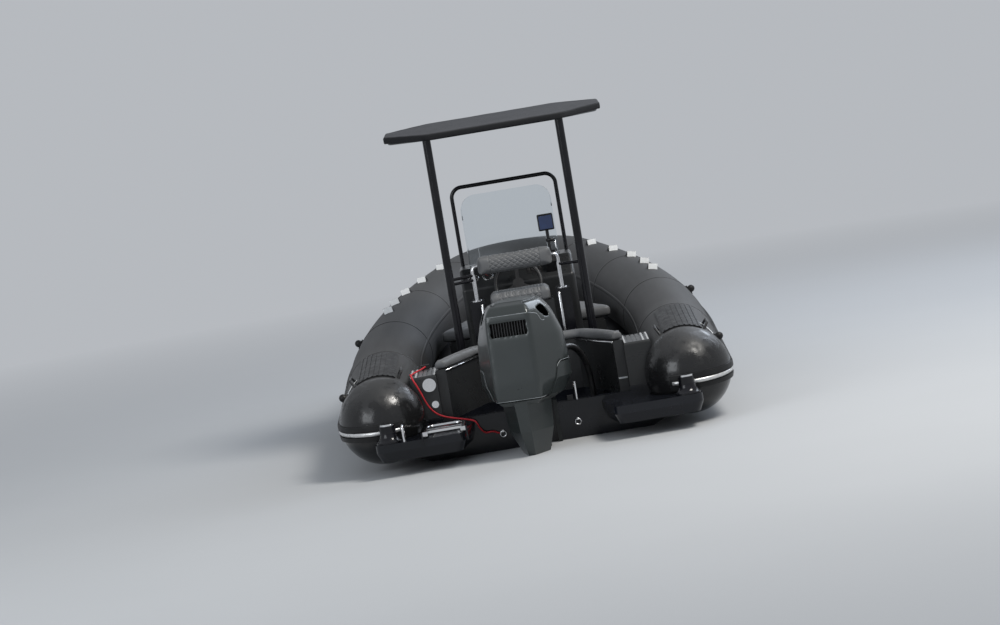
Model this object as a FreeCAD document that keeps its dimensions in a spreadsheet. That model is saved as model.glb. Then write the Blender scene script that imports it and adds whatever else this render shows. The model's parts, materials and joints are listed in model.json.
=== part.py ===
"""Inflatable RIB boat with a helm seat, console, T-top and outboard engine.

Frame, in millimetres: +X to starboard, +Y forward, +Z up. The origin is on the centreline,
at the waterline, in the plane of the transom's aft face.
"""
import FreeCAD, Part
import math
import os
import Sketcher
from FreeCAD import Placement, Rotation, Vector

ORIGIN = Vector(0, 0, 0)
AXIS_X = Vector(1, 0, 0)
AXIS_Y = Vector(0, 1, 0)
AXIS_Z = Vector(0, 0, 1)
STARBOARD = 1
PORT = -1
SIDE_NAMES = {STARBOARD: "starboard", PORT: "port"}

# Driving dimensions, in mm and degrees: alias, value
SIZES = [
    # inflatable collar
    ("tube_radius", 287),
    ("tube_gauge", 1075),
    ("tube_height", 348),
    ("tube_aft", 50),
    ("stern_pitch", 3),
    ("cone_length", 330),
    ("cone_flange", 15),
    ("side_run", 1476),
    ("sheer_radius", 6000),
    ("sheer_angle", 1.6),
    ("flank_radius", 13100),
    ("flank_angle", 17.6),
    ("shoulder_radius", 713),
    ("shoulder_angle", 20),
    ("strake_drop_angle", 96),
    ("strake_spread", 22),
    ("strake_thickness", 20),
    ("strake_rib", 9),
    ("strake_rib_angle", 6.8),
    ("strake_wrap", 150),
    # hull
    ("hull_length", 5900),
    ("keel_depth", 380),
    ("chine_half_breadth", 860),
    ("chine_flat", 70),
    ("side_tuck", 40),
    ("side_depth", 250),
    ("coaming_drop", 120),
    ("coaming_floor", 300),
    ("cockpit_half_width", 700),
    ("cockpit_aft", 840),
    ("cockpit_taper_start", 2400),
    ("cockpit_front", 4600),
    ("cockpit_front_half_width", 394),
    ("deck_height", 120),
    ("deck_thickness", 20),
    ("transom_height", 265),
    ("transom_thickness", 80),
    ("well_floor", 190),
    # stern moulding
    ("bulkhead_height", 620),
    ("bulkhead_half_width", 660),
    ("well_mouth", 590),
    ("well_back_half_width", 350),
    ("well_depth", 745),
    ("well_aft", 60),
    ("quarter_inner", 661),
    ("quarter_outer", 850),
    ("quarter_length", 570),
    ("quarter_height", 600),
    ("quarter_round", 20),
    ("tread_groove", 8),
    ("tread_depth", 5),
    ("tread_count", 5),
    ("bolster_height", 66),
    ("bolster_width", 84),
    ("bolster_bend", 110),
    ("bolster_edge", 42),
    ("bench_depth", 330),
    ("bench_height", 430),
    ("bench_half_width", 560),
    ("bench_cushion", 70),
    # swim platforms
    ("platform_inner", 450),
    ("platform_inner_aft", 520),
    ("platform_outer", 1130),
    ("platform_length", 560),
    ("platform_top", 232),
    ("platform_thickness", 125),
    ("platform_edge", 55),
    ("platform_taper", 30),
    ("platform_corner", 60),
    ("platform_gap", 12),
    ("post_foot", 90),
    ("post_neck", 56),
    ("post_flare", 60),
    ("post_height", 120),
    ("post_x", 1035),
    ("post_y", 460),
    # boarding ladder
    ("ladder_x", 650),
    ("ladder_width", 260),
    ("ladder_tube", 13),
    ("ladder_bend", 60),
    ("ladder_tread", 50),
    ("ladder_tread_thickness", 16),
    ("ladder_boss", 16),
    ("ladder_boss_width", 34),
    ("ladder_length", 420),
    ("ladder_lift", 32),
    ("ladder_hinge_y", 590),
    ("ladder_pin", 8),
    ("ladder_lug", 10),
    # collar fittings
    ("patch_length", 85),
    ("patch_half_width", 36),
    ("patch_rise", 42),
    ("patch_lean", 14),
    ("knob_radius", 28),
    ("knob_height", 30),
    ("knob_flange", 40),
    ("pad_start", 150),
    ("pad_end", 1250),
    ("pad_inner_angle", 26),
    ("pad_outer_angle", 30),
    ("pad_thickness", 10),
    ("pad_rib", 4),
    ("pad_rib_angle", 2.4),
    ("pad_rib_pitch", 7),
    ("handle_start", 200),
    ("handle_length", 230),
    ("handle_rise", 48),
    ("handle_bar", 9),
    # helm seat
    ("seat_y", 1250),
    ("seat_depth", 350),
    ("seat_half_width", 240),
    ("seat_height", 885),
    ("seat_cushion", 95),
    ("seat_nose", 40),
    ("column_inner", 260),
    ("column_width", 110),
    ("column_rise", 70),
    ("backrest_lift", 258),
    ("backrest_thickness", 120),
    ("backrest_tall", 132),
    ("backrest_half_width", 275),
    ("padding_round", 28),
    ("frame_tube", 14),
    ("brace_bar", 11),
    ("brace_lift", 245),
    ("brace_spread", 34),
    # T-top
    ("leg_x", 486),
    ("leg_y", 1200),
    ("leg_radius", 30),
    ("roof_height", 2215),
    ("roof_thickness", 40),
    ("roof_skirt", 38),
    ("roof_skirt_wall", 8),
    ("roof_round", 18),
    ("roof_aft", 1130),
    ("roof_front", 2640),
    ("roof_half_width", 810),
    ("roof_end_half_width", 500),
    ("roof_wide_aft", 1620),
    ("roof_wide_front", 2160),
    ("roof_tube", 20),
    ("roof_inset", 45),
    ("roof_bend", 90),
    # console
    ("console_aft", 1950),
    ("console_depth", 550),
    ("console_half_width", 430),
    ("console_height", 1150),
    ("console_slope", 150),
    ("console_toe", 40),
    ("console_round", 30),
    ("screen_half_width", 345),
    ("screen_top", 1680),
    ("screen_thickness", 8),
    ("screen_wing", 230),
    ("screen_corner", 80),
    ("screen_setback", 70),
    ("screen_rake", 170),
    ("screen_round", 110),
    ("rail_top", 1750),
    ("rail_half_width", 400),
    ("rail_tube", 15),
    ("rail_bend", 80),
    ("rail_setback", 40),
    ("wheel_radius", 170),
    ("wheel_rim", 14),
    ("wheel_drop", 150),
    ("wheel_reach", 120),
    ("wheel_rake", 25),
    ("display_x", 215),
    ("display_width", 120),
    ("display_lift", 186),
    ("display_tall", 125),
    ("display_depth", 50),
    ("throttle_x", 230),
    ("throttle_width", 80),
    ("front_seat_depth", 300),
    ("front_seat_height", 480),
    ("front_seat_cushion", 80),
    ("front_back_top", 915),
    ("front_back_thickness", 80),
    # bow locker
    ("forward_way", 200),
    ("locker_height", 520),
    ("locker_wall", 25),
    ("lid_length", 800),
    ("lid_thickness", 20),
    ("lid_gap", 8),
    ("bow_cushion", 95),
    ("bow_cushion_half_width", 695),
    ("bow_cushion_front_half_width", 520),
    # outboard engine
    ("steer_rest", 12.5),
    ("tilt_y", 50),
    ("tilt_z", 300),
    ("tilt_tube", 22),
    ("bracket_gap", 110),
    ("bracket_plate", 28),
    ("bracket_drop", 420),
    ("steer_y", 195),
    ("king_pin", 30),
    ("swivel_radius", 58),
    ("swivel_top", 290),
    ("swivel_bottom", 120),
    ("cowl_half_width", 310),
    ("cowl_panel", 155),
    ("cowl_front", 55),
    ("cowl_rear", 710),
    ("cowl_bottom", 360),
    ("cowl_seam", 390),
    ("cowl_side_seam", 600),
    ("cowl_top", 1062),
    ("cowl_wall", 12),
    ("cowl_groove", 4),
    ("vent_half_width", 125),
    ("vent_bottom", 838),
    ("vent_top", 935),
    ("vent_slat", 5),
    ("vent_slats", 12),
    ("leg_half_width", 50),
    ("arm_reach", 150),
    ("arm_thickness", 70),
    ("fairing_bottom", 120),
    ("plate_height", -400),
    ("plate_half_width", 140),
    ("plate_thickness", 12),
    ("gearcase_radius", 62),
    ("prop_height", -615),
    ("prop_radius", 190),
    ("prop_hub", 55),
    ("prop_hub_length", 150),
    ("prop_pitch", 430),
    ("prop_blades", 3),
    ("prop_shaft", 15),
    ("prop_setback", 250),
    ("skeg_bottom", -800),
    ("skeg_root", 215),
    ("skeg_thickness", 14),
    # small fittings
    ("eye_x", 264),
    ("eye_height", 115),
    ("eye_ring", 20),
    ("eye_bar", 5),
    ("eye_stud", 18),
    ("disc_radius", 47),
    ("cap_radius", 25),
    ("fitting_thickness", 12),
    ("grab_x", 930),
    ("grab_height", 110),
    ("grab_length", 90),
    ("grab_bar", 9),
    ("cleat_bar", 9),
    ("cleat_length", 180),
    ("cleat_height", 110),
    ("bow_cleat_y", 5000),
    ("bow_cleat_z", 650),
    ("bow_eye_y", 5836),
    ("bow_eye_z", 302),
    ("bow_eye_bore", 13),
    ("bow_eye_thickness", 14),
    ("bezel_radius", 42),
    ("shaft_radius", 10),
    ("hose_radius", 22),
    ("gland_radius", 32),
    ("rope_radius", 6),
    # clearances
    ("running_gap", 6),
    ("pin_gap", 0.05),
    ("face_gap", 0.3),
]

doc = FreeCAD.newDocument("rib_boat")
sheet = doc.addObject("Spreadsheet::Sheet", "dims")
for row, (alias, value) in enumerate(SIZES, start=1):
    sheet.set(f"A{row}", alias)
    sheet.set(f"B{row}", str(value))
    sheet.setAlias(f"B{row}", alias)
doc.recompute()


class Size:
    """A number from the sheet, with the expression that binds a property to it."""

    def __init__(self, value, text=None):
        self.value = float(value)
        self.text = text if text else repr(float(value))

    def __add__(self, other):
        other = as_size(other)
        return Size(self.value + other.value, f"({self.text} + {other.text})")

    def __radd__(self, other):
        return as_size(other) + self

    def __sub__(self, other):
        other = as_size(other)
        return Size(self.value - other.value, f"({self.text} - {other.text})")

    def __rsub__(self, other):
        return as_size(other) - self

    def __mul__(self, factor):
        factor = as_size(factor)
        return Size(self.value * factor.value, f"({self.text} * {factor.text})")

    __rmul__ = __mul__

    def __truediv__(self, factor):
        factor = as_size(factor)
        return Size(self.value / factor.value, f"({self.text} / {factor.text})")

    def __neg__(self):
        return Size(-self.value, f"(-1 * {self.text})")


def as_size(number):
    return number if isinstance(number, Size) else Size(number)


class Sizes:
    """Every alias of the sheet as an attribute."""


d = Sizes()
for alias, value in SIZES:
    setattr(d, alias, Size(value, f"dims.{alias}"))

nodes = []


def keep(feature, label):
    """Name a finished sub-part and list it for export."""
    feature.Label = label
    nodes.append(feature)
    return feature


def bind(feature, prop, size):
    """Set a property to a size and bind it to the sheet."""
    size = as_size(size)
    feature.setExpression(prop, size.text)


def place(feature, x, y, z, rotation=None):
    if rotation:
        feature.Placement.Rotation = rotation
    bind(feature, "Placement.Base.x", x)
    bind(feature, "Placement.Base.y", y)
    bind(feature, "Placement.Base.z", z)


def box(name, x, y, z):
    """A block between three pairs of limits."""
    feature = doc.addObject("Part::Box", name)
    bind(feature, "Length", x[1] - x[0])
    bind(feature, "Width", y[1] - y[0])
    bind(feature, "Height", z[1] - z[0])
    place(feature, x[0], y[0], z[0])
    return feature


def padded_block(name, x, y, z):
    """A block that is rounded everywhere but round its seat."""
    core = box(name + "_core", x, y, z)
    doc.recompute()
    seat = as_size(z[0]).value
    radius = d.padding_round.value
    feature = doc.addObject("Part::Fillet", name)
    feature.Base = core
    feature.Edges = [(number, radius, radius) for number, edge in enumerate(core.Shape.Edges, start=1)
                     if edge.CenterOfMass.z > seat + 1]
    return feature


TURN_TO = {
    "X": Rotation(AXIS_Y, 90),
    "Y": Rotation(AXIS_X, -90),
    "Z": Rotation(),
}


def cylinder(name, axis, start, length, radius):
    """A round bar from a start point along a named axis."""
    feature = doc.addObject("Part::Cylinder", name)
    bind(feature, "Radius", radius)
    bind(feature, "Height", length)
    place(feature, *start, TURN_TO[axis])
    return feature


def group(name, pieces):
    """Like pieces that don't touch, held as one sub-part."""
    feature = doc.addObject("Part::Compound", name)
    feature.Links = pieces
    return feature


def solid(name, shape):
    """A sub-part whose shape is worked out here from the sizes."""
    feature = doc.addObject("Part::Feature", name)
    feature.Shape = shape
    return feature


# Sketched bodies

PLANES = {
    # plane: (role, sign of the pad direction along the remaining axis)
    "XY": ("XY_Plane", 1),
    "XZ": ("XZ_Plane", -1),
    "YZ": ("YZ_Plane", 1),
}


def new_body(name):
    return doc.addObject("PartDesign::Body", name)


def polygon_sketch(body, plane, points, low, high):
    """A closed outline on a plane of the body's origin, each corner bound to the sheet."""
    role, sign = PLANES[plane]
    sketch = body.newObject("Sketcher::SketchObject", body.Name + "_outline")
    origin_plane = [f for f in body.Origin.OriginFeatures if f.Role == role][0]
    sketch.AttachmentSupport = [(origin_plane, "")]
    sketch.MapMode = "FlatFace"
    offset = low if sign > 0 else -as_size(high)
    bind(sketch, "AttachmentOffset.Base.z", offset)
    corners = [Vector(as_size(u).value, as_size(v).value, 0) for u, v in points]
    for i, corner in enumerate(corners):
        after = corners[(i + 1) % len(corners)]
        sketch.addGeometry(Part.LineSegment(corner, after), False)
    for i in range(len(corners)):
        sketch.addConstraint(Sketcher.Constraint("Coincident", i, 2, (i + 1) % len(corners), 1))
    for i, (u, v) in enumerate(points):
        for kind, size in (("DistanceX", as_size(u)), ("DistanceY", as_size(v))):
            index = sketch.addConstraint(Sketcher.Constraint(kind, -1, 1, i, 1, size.value))
            sketch.setExpression(f"Constraints[{index}]", size.text)
    return sketch


def pad(body, plane, points, low, high):
    """Fill an outline between two heights along the axis across its plane."""
    sketch = polygon_sketch(body, plane, points, low, high)
    feature = body.newObject("PartDesign::Pad", body.Name + "_pad")
    feature.Profile = sketch
    bind(feature, "Length", as_size(high) - low)
    body.Tip = feature
    doc.recompute()
    return feature


def round_edges(body, radius, chosen):
    """Round the edges of a body that a test picks out."""
    tip = body.Tip
    names = [f"Edge{number}" for number, edge in enumerate(tip.Shape.Edges, start=1) if chosen(edge)]
    feature = body.newObject("PartDesign::Fillet", body.Name + "_round")
    feature.Base = (tip, names)
    bind(feature, "Radius", radius)
    body.Tip = feature
    doc.recompute()


# Bent tubes

def bent_wire(points, bend, closed=False):
    """Straight runs joined by tangent arcs of one radius, or of one per corner; none where it is 0."""
    points = [Vector(*p) for p in points]
    count = len(points)
    bends = bend if isinstance(bend, (list, tuple)) else [bend] * count
    starts = {}
    ends = {}
    arcs = {}
    corners = range(count) if closed else range(1, count - 1)
    for i in corners:
        if not bends[i]:
            continue
        here = points[i]
        back = (points[i - 1] - here).normalize()
        ahead = (points[(i + 1) % count] - here).normalize()
        half = math.acos(max(-1.0, min(1.0, back.dot(ahead)))) / 2
        reach = bends[i] / math.tan(half)
        middle = (back + ahead).normalize()
        centre = here + middle * (bends[i] / math.sin(half))
        starts[i] = here + back * reach
        ends[i] = here + ahead * reach
        arcs[i] = Part.Arc(starts[i], centre - middle * bends[i], ends[i]).toShape()
    edges = []
    runs = range(count) if closed else range(count - 1)
    for i in runs:
        after = (i + 1) % count
        first = ends.get(i, points[i])
        last = starts.get(after, points[after])
        if (last - first).Length > 1e-6:
            edges.append(Part.makeLine(first, last))
        if after in arcs:
            edges.append(arcs[after])
    return Part.Wire(edges)


def tube_shape(points, radius, bend, closed=False):
    """A round bar along a bent path, checked against its section times its length."""
    path = bent_wire(points, bend, closed)
    first = path.Edges[0]
    section = Part.Wire(Part.makeCircle(radius, first.valueAt(first.FirstParameter),
                                        first.tangentAt(first.FirstParameter)))
    shape = path.makePipeShell([section], True, False)
    expected = math.pi * radius ** 2 * path.Length
    if abs(shape.Volume - expected) > 0.02 * expected:
        raise RuntimeError(f"a tube of {expected:.0f} mm3 came out as {shape.Volume:.0f} mm3")
    return shape


# The collar's line: straight side, sheer, flank, shoulder and nose

def turn_centre(frame, radius):
    """The point about which the collar turns inboard."""
    return frame.multVec(Vector(-radius, 0, 0))


def collar_legs():
    """The collar's line on the starboard side, as (kind, length or radius, angle)."""
    flank = math.radians(d.flank_angle.value)
    both = math.radians(d.flank_angle.value + d.shoulder_angle.value)
    after_flank = d.tube_gauge.value - d.flank_radius.value * (1 - math.cos(flank))
    after_shoulder = after_flank - d.shoulder_radius.value * (math.cos(flank) - math.cos(both))
    nose_radius = after_shoulder / math.cos(both)
    return [
        ("straight", d.tube_aft.value + d.side_run.value, 0),
        ("sheer", d.sheer_radius.value, d.sheer_angle.value),
        ("turn", d.flank_radius.value, d.flank_angle.value),
        ("turn", d.shoulder_radius.value, d.shoulder_angle.value),
        ("turn", nose_radius, 90 - math.degrees(both)),
    ]


def leg_length(kind, size, angle):
    return size if kind == "straight" else size * math.radians(angle)


def leg_motion(kind, size, angle, frame, part=1.0):
    """The movement of a section along part of a leg, from the leg's starting frame."""
    if kind == "straight":
        return Placement(frame.Rotation.multVec(AXIS_Y) * size * part, Rotation())
    if kind == "sheer":
        centre = frame.multVec(Vector(0, 0, size))
        axis = frame.Rotation.multVec(AXIS_X)
    else:
        centre = frame.multVec(Vector(-size, 0, 0))
        axis = frame.Rotation.multVec(AXIS_Z)
    return Placement(ORIGIN, Rotation(axis, angle * part), centre)


def collar_start():
    """The frame at the tube's aft end, from which the tube rises towards the bow."""
    aft = Vector(d.tube_gauge.value, -d.tube_aft.value, d.tube_height.value)
    return Placement(aft, Rotation(AXIS_X, d.stern_pitch.value))


def collar_frame(distance):
    """The frame on the tube's axis at a distance from its aft end: X outboard, Y along, Z up."""
    frame = collar_start()
    for kind, size, angle in collar_legs():
        length = leg_length(kind, size, angle)
        if distance <= length:
            return leg_motion(kind, size, angle, frame, distance / length).multiply(frame)
        frame = leg_motion(kind, size, angle, frame).multiply(frame)
        distance -= length
    return frame


def leg_solid(face, kind, size, angle, frame):
    """The solid that a face sweeps along one leg."""
    if kind == "straight":
        return face.extrude(frame.Rotation.multVec(AXIS_Y) * size)
    if kind == "sheer":
        return face.revolve(frame.multVec(Vector(0, 0, size)), frame.Rotation.multVec(AXIS_X), angle)
    return face.revolve(turn_centre(frame, size), frame.Rotation.multVec(AXIS_Z), angle)


def collar_sweep(profile, start, end):
    """Sweep a profile, drawn about the tube's axis, between two distances along the collar."""
    pieces = []
    frame = collar_start()
    for kind, size, angle in collar_legs():
        length = leg_length(kind, size, angle)
        low = max(start, 0.0)
        high = min(end, length)
        if high - low > 1e-6:
            first = leg_motion(kind, size, angle, frame, low / length).multiply(frame)
            face = profile.copy()
            face.transformShape(first.toMatrix())
            share = (high - low) / length
            run = (kind, size * share, 0) if kind == "straight" else (kind, size, angle * share)
            pieces.append(leg_solid(face, *run, first))
        frame = leg_motion(kind, size, angle, frame).multiply(frame)
        start -= length
        end -= length
    shape = pieces[0]
    if len(pieces) > 1:
        shape = pieces[0].multiFuse(pieces[1:]).removeSplitter()
    return shape


def round_section(radius):
    return Part.Face(Part.Wire(Part.makeCircle(radius, ORIGIN, AXIS_Y)))


def on_tube(angle, radius):
    """A point of the section, at an angle from the top towards outboard."""
    turn = math.radians(angle)
    return Vector(radius * math.sin(turn), 0, radius * math.cos(turn))


def band_section(inner_radius, low_angle, high_angle, thickness):
    """A strip that lies on the tube between two angles from its top."""
    outer_radius = inner_radius + thickness
    middle = (low_angle + high_angle) / 2
    edges = [
        Part.Arc(*(on_tube(a, inner_radius) for a in (low_angle, middle, high_angle))).toShape(),
        Part.makeLine(on_tube(high_angle, inner_radius), on_tube(high_angle, outer_radius)),
        Part.Arc(*(on_tube(a, outer_radius) for a in (high_angle, middle, low_angle))).toShape(),
        Part.makeLine(on_tube(low_angle, outer_radius), on_tube(low_angle, inner_radius)),
    ]
    return Part.Face(Part.Wire(edges))


def collar_length():
    return sum(leg_length(*leg) for leg in collar_legs())


def side_length():
    """The distance at which a side tube meets the bow tube, the flank's front end."""
    return sum(leg_length(*leg) for leg in collar_legs()[:3])


def distance_at(y):
    """The distance along the collar at which its axis reaches a given Y."""
    low = 0.0
    high = collar_length()
    while high - low > 0.01:
        middle = (low + high) / 2
        if collar_frame(middle).Base.y < y:
            low = middle
        else:
            high = middle
    return low


def mirrored(shape):
    return shape.mirror(ORIGIN, AXIS_X)


def on_side(shape, side):
    return shape if side == STARBOARD else mirrored(shape)


def both_sides(name, shape):
    """A starboard solid and its mirror image, held as one sub-part."""
    return solid(name, Part.Compound([shape, mirrored(shape)]))


def side_tube_shape():
    return collar_sweep(round_section(d.tube_radius.value), 0.0, side_length())


def bow_tube_shape():
    half = collar_sweep(round_section(d.tube_radius.value), side_length(), collar_length())
    return half.fuse(mirrored(half)).removeSplitter()


def cone_shape(extra=0.0):
    """The domed end of a side tube, half an ellipsoid of revolution with a lip round its mouth."""
    length = d.cone_length.value + extra
    radius = d.tube_radius.value + d.cone_flange.value + extra
    quarter = Part.Arc(Part.Ellipse(Vector(0, 0, 0), length, radius), 0, math.pi / 2).toShape()
    outline = Part.Wire([
        quarter,
        Part.makeLine(Vector(0, radius, 0), ORIGIN),
        Part.makeLine(ORIGIN, Vector(length, 0, 0)),
    ])
    dome = Part.Face(outline).revolve(ORIGIN, AXIS_X, 360)
    face_aft = Placement(ORIGIN, Rotation(AXIS_Z, -90))
    dome.transformShape(collar_start().multiply(face_aft).toMatrix())
    return dome


def make_collar():
    for side, name in SIDE_NAMES.items():
        keep(solid(f"tube_{name}", on_side(side_tube_shape(), side)), f"tube_{name}")
    keep(solid("tube_bow", bow_tube_shape()), "tube_bow")
    keep(both_sides("stern_cones", cone_shape()), "stern_cones")


def cone_band(low_angle, high_angle, thickness):
    """A strip round the back of the cone, between the heights of two angles on the tube."""
    radius = d.tube_radius.value
    wide = 2 * radius
    top = radius * math.cos(math.radians(low_angle))
    bottom = radius * math.cos(math.radians(high_angle))
    slab = Part.makeBox(wide, wide, top - bottom, Vector(-d.strake_wrap.value, -wide, bottom))
    slab.transformShape(collar_start().toMatrix())
    return cone_shape(thickness - d.cone_flange.value).common(slab).cut(cone_shape())


def make_rub_strake():
    """A heavy double-ribbed strip round the outside of the collar."""
    inner = d.tube_radius.value
    middle = d.strake_drop_angle.value
    half = d.strake_spread.value / 2
    base = band_section(inner, middle - half, middle + half, d.strake_thickness.value)
    rib_root = inner + d.strake_thickness.value
    rib_width = d.strake_rib_angle.value
    rib_top = band_section(rib_root, middle - half, middle - half + rib_width, d.strake_rib.value)
    rib_low = band_section(rib_root, middle + half - rib_width, middle + half, d.strake_rib.value)
    profile = base.multiFuse([rib_top, rib_low]).removeSplitter().Faces[0]
    half_strake = collar_sweep(profile, 0.0, collar_length())
    ribs = [(middle - half, middle - half + rib_width), (middle + half - rib_width, middle + half)]
    wrap = [cone_band(middle - half, middle + half, d.strake_thickness.value)]
    wrap += [cone_band(low, high, d.strake_thickness.value + d.strake_rib.value) for low, high in ribs]
    half_strake = half_strake.multiFuse(wrap).removeSplitter()
    strake = half_strake.fuse(mirrored(half_strake)).removeSplitter()
    keep(solid("rub_strake", strake), "rub_strake")


def tube_pad_profile():
    """The section of a step pad: a band on the tube with ribs that run along it."""
    radius = d.tube_radius.value
    low = -d.pad_inner_angle.value
    high = d.pad_outer_angle.value
    base = band_section(radius, low, high, d.pad_thickness.value)
    width = d.pad_rib_angle.value
    ribs = []
    angle = low + width
    while angle + width < high:
        ribs.append(band_section(radius + d.pad_thickness.value, angle, angle + width, d.pad_rib.value))
        angle += d.pad_rib_pitch.value
    return base.multiFuse(ribs).removeSplitter().Faces[0]


def pad_handle(angle):
    """An angular grab handle on the tube beside a step pad, at an angle from the tube's top."""
    radius = d.tube_radius.value
    top = radius + d.handle_rise.value
    start = d.handle_start.value
    length = d.handle_length.value
    foot = radius - d.handle_bar.value
    points = []
    for share, reach in ((0.0, foot), (0.14, top), (0.86, top), (1.0, foot)):
        points.append(collar_frame(start + length * share).multVec(on_tube(angle, reach)))
    bar = tube_shape(points, d.handle_bar.value, 2 * d.handle_bar.value)
    return bar.cut(side_tube_shape())


def tube_knob(y, angle):
    """A domed rubber stop on a flange, at an angle from the tube's top."""
    frame = collar_frame(distance_at(y))
    sink = d.running_gap.value
    seat = frame.multVec(on_tube(angle, d.tube_radius.value - sink))
    out = frame.Rotation.multVec(on_tube(angle, 1))
    flange = Part.makeCylinder(d.knob_flange.value, sink + d.pad_thickness.value, seat, out)
    stem = Part.makeCylinder(d.knob_radius.value, d.knob_height.value, seat, out)
    dome = Part.makeSphere(d.knob_radius.value, seat + out * d.knob_height.value)
    return flange.multiFuse([stem, dome]).cut(side_tube_shape()).removeSplitter()


def patch_wedge(y, angle):
    """A wedge-shaped strap on the collar, steep on its aft face, at an angle from the tube's top."""
    frame = collar_frame(distance_at(y))
    half = d.patch_half_width.value
    radius = d.tube_radius.value
    profile = [
        (0, radius - 2 * d.patch_lean.value), (d.patch_lean.value, radius + d.patch_rise.value),
        (d.patch_lean.value + 4, radius + d.patch_rise.value), (d.patch_length.value, radius - 2),
        (d.patch_length.value, radius - 2 * d.patch_lean.value),
    ]
    corners = [Vector(-half, along, out) for along, out in profile]
    wedge = Part.Face(Part.makePolygon(corners + corners[:1])).extrude(Vector(2 * half, 0, 0))
    wedge.rotate(ORIGIN, AXIS_Y, angle)
    wedge.transformShape(frame.toMatrix())
    wedge = wedge.cut(side_tube_shape()).cut(bow_tube_shape())
    return max(wedge.Solids, key=lambda piece: piece.Volume)


def make_collar_fittings():
    """Reflective straps, side knobs, and step pads with their handles."""
    step = collar_sweep(tube_pad_profile(), d.pad_start.value, d.pad_end.value)
    keep(both_sides("step_pads", step), "step_pads")
    handles = [pad_handle(angle) for angle in HANDLE_ANGLES]
    handles += [mirrored(handle) for handle in handles]
    keep(solid("pad_handles", Part.Compound(handles)), "pad_handles")
    patches = [patch_wedge(y, angle) for y, angle in PATCH_PLACES]
    patches += [mirrored(patch) for patch in patches]
    keep(solid("reflective_patches", Part.Compound(patches)), "reflective_patches")
    knobs = [tube_knob(y, angle) for y, angle in KNOB_PLACES]
    knobs += [mirrored(knob) for knob in knobs]
    keep(solid("tube_knobs", Part.Compound(knobs)), "tube_knobs")


# Y of each reflective strap and side knob, with its angle from the tube's top
PATCH_PLACES = [(3150, 13), (3530, 14), (3960, 12), (4420, 5), (4960, 0)]
KNOB_PLACES = [(130, 56), (2700, 61)]
# Angles of the handles inboard and outboard of a step pad
HANDLE_ANGLES = [-31, 35]

# Hull sections, as shares: Y of the length, keel height of the keel's depth, chine half-breadth of
# the widest, chine height of the keel's depth
HULL_STATIONS = [
    (0, -1, 1, 0.105),
    (0.305, -1, 1, 0.132),
    (0.542, -0.908, 0.907, 0.25),
    (0.729, -0.618, 0.709, 0.46),
    (0.864, -0.158, 0.465, 0.763),
    (0.958, 0.5, 0.215, 1.105),
    (1, 1.132, 0.07, 1.434),
]


def hull_section(length_share, keel_share, breadth_share, chine_share):
    """Half of the outline is keel, chine, spray flat, side and coaming; the rest mirrors it."""
    y = d.hull_length.value * length_share
    depth = d.keel_depth.value
    chine = d.chine_half_breadth.value * breadth_share
    chine_height = depth * chine_share
    axis = collar_frame(distance_at(y)).Base
    seat_x = axis.x - d.side_tuck.value
    coaming = max(axis.z - d.coaming_drop.value, d.coaming_floor.value)
    flat = d.chine_flat.value * min(1, 2 * breadth_share)
    half = [
        (0, depth * keel_share),
        (chine, chine_height),
        (chine + flat, chine_height + flat / 16),
        (seat_x, axis.z - d.side_depth.value),
        (seat_x, coaming),
    ]
    points = half + [(-x, z) for x, z in reversed(half[1:])]
    corners = [Vector(x, y, z) for x, z in points]
    return Part.makePolygon(corners + corners[:1])


def cockpit_outline(inset=0.0, aft=None, front=None):
    """The cockpit's plan between two stations, as corners from starboard aft round to port aft."""
    aft = d.cockpit_aft.value if aft is None else aft
    front = d.cockpit_front.value if front is None else front
    start = d.cockpit_taper_start.value

    def half_width(y):
        if y <= start:
            return d.cockpit_half_width.value - inset
        share = (y - start) / (d.cockpit_front.value - start)
        drop = d.cockpit_half_width.value - d.cockpit_front_half_width.value
        return d.cockpit_half_width.value - inset - drop * share

    stations = [aft] + ([start] if aft < start < front else []) + [front]
    right = [(half_width(y), y) for y in stations]
    return right + [(-x, y) for x, y in reversed(right)]


def prism(points, low, high):
    """A plan outline filled between two heights."""
    corners = [Vector(x, y, low) for x, y in points]
    face = Part.Face(Part.makePolygon(corners + corners[:1]))
    return face.extrude(Vector(0, 0, high - low))


def make_hull():
    sections = [hull_section(*station) for station in HULL_STATIONS]
    shell = Part.makeLoft(sections, True, False)
    floor = d.deck_height.value - d.deck_thickness.value
    sky = d.hull_length.value
    tools = [side_tube_shape(), mirrored(side_tube_shape()), bow_tube_shape()]
    tools.append(prism(cockpit_outline(), floor, sky))
    notch = d.bulkhead_half_width.value
    aft = d.cockpit_aft.value
    behind = -d.tube_aft.value
    stern = [(notch, behind), (notch, aft + 1), (-notch, aft + 1), (-notch, behind)]
    tools.append(prism(stern, d.transom_height.value, sky))
    tools.append(prism(well_outline(d.transom_thickness.value), d.well_floor.value, sky))
    keep(solid("hull", shell.cut(tools[0].multiFuse(tools[1:]))), "hull")
    deck = prism(cockpit_outline(), floor, d.deck_height.value)
    keep(solid("deck", deck), "deck")


def well_outline(aft):
    """The engine well's plan forward of a given Y, narrowing towards its forward end."""
    mouth = d.well_mouth.value
    back = d.well_back_half_width.value
    share = (aft - d.well_aft.value) / (d.well_depth.value - d.well_aft.value)
    half = mouth - (mouth - back) * share
    depth = d.well_depth.value
    return [(half, aft), (back, depth), (-back, depth), (-half, aft)]


def rounded_prism(points, bends, low, high):
    """A plan outline with rounded corners, filled between two heights."""
    wire = bent_wire([(x, y, low) for x, y in points], bends, closed=True)
    return Part.Face(wire).extrude(Vector(0, 0, high - low))


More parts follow.
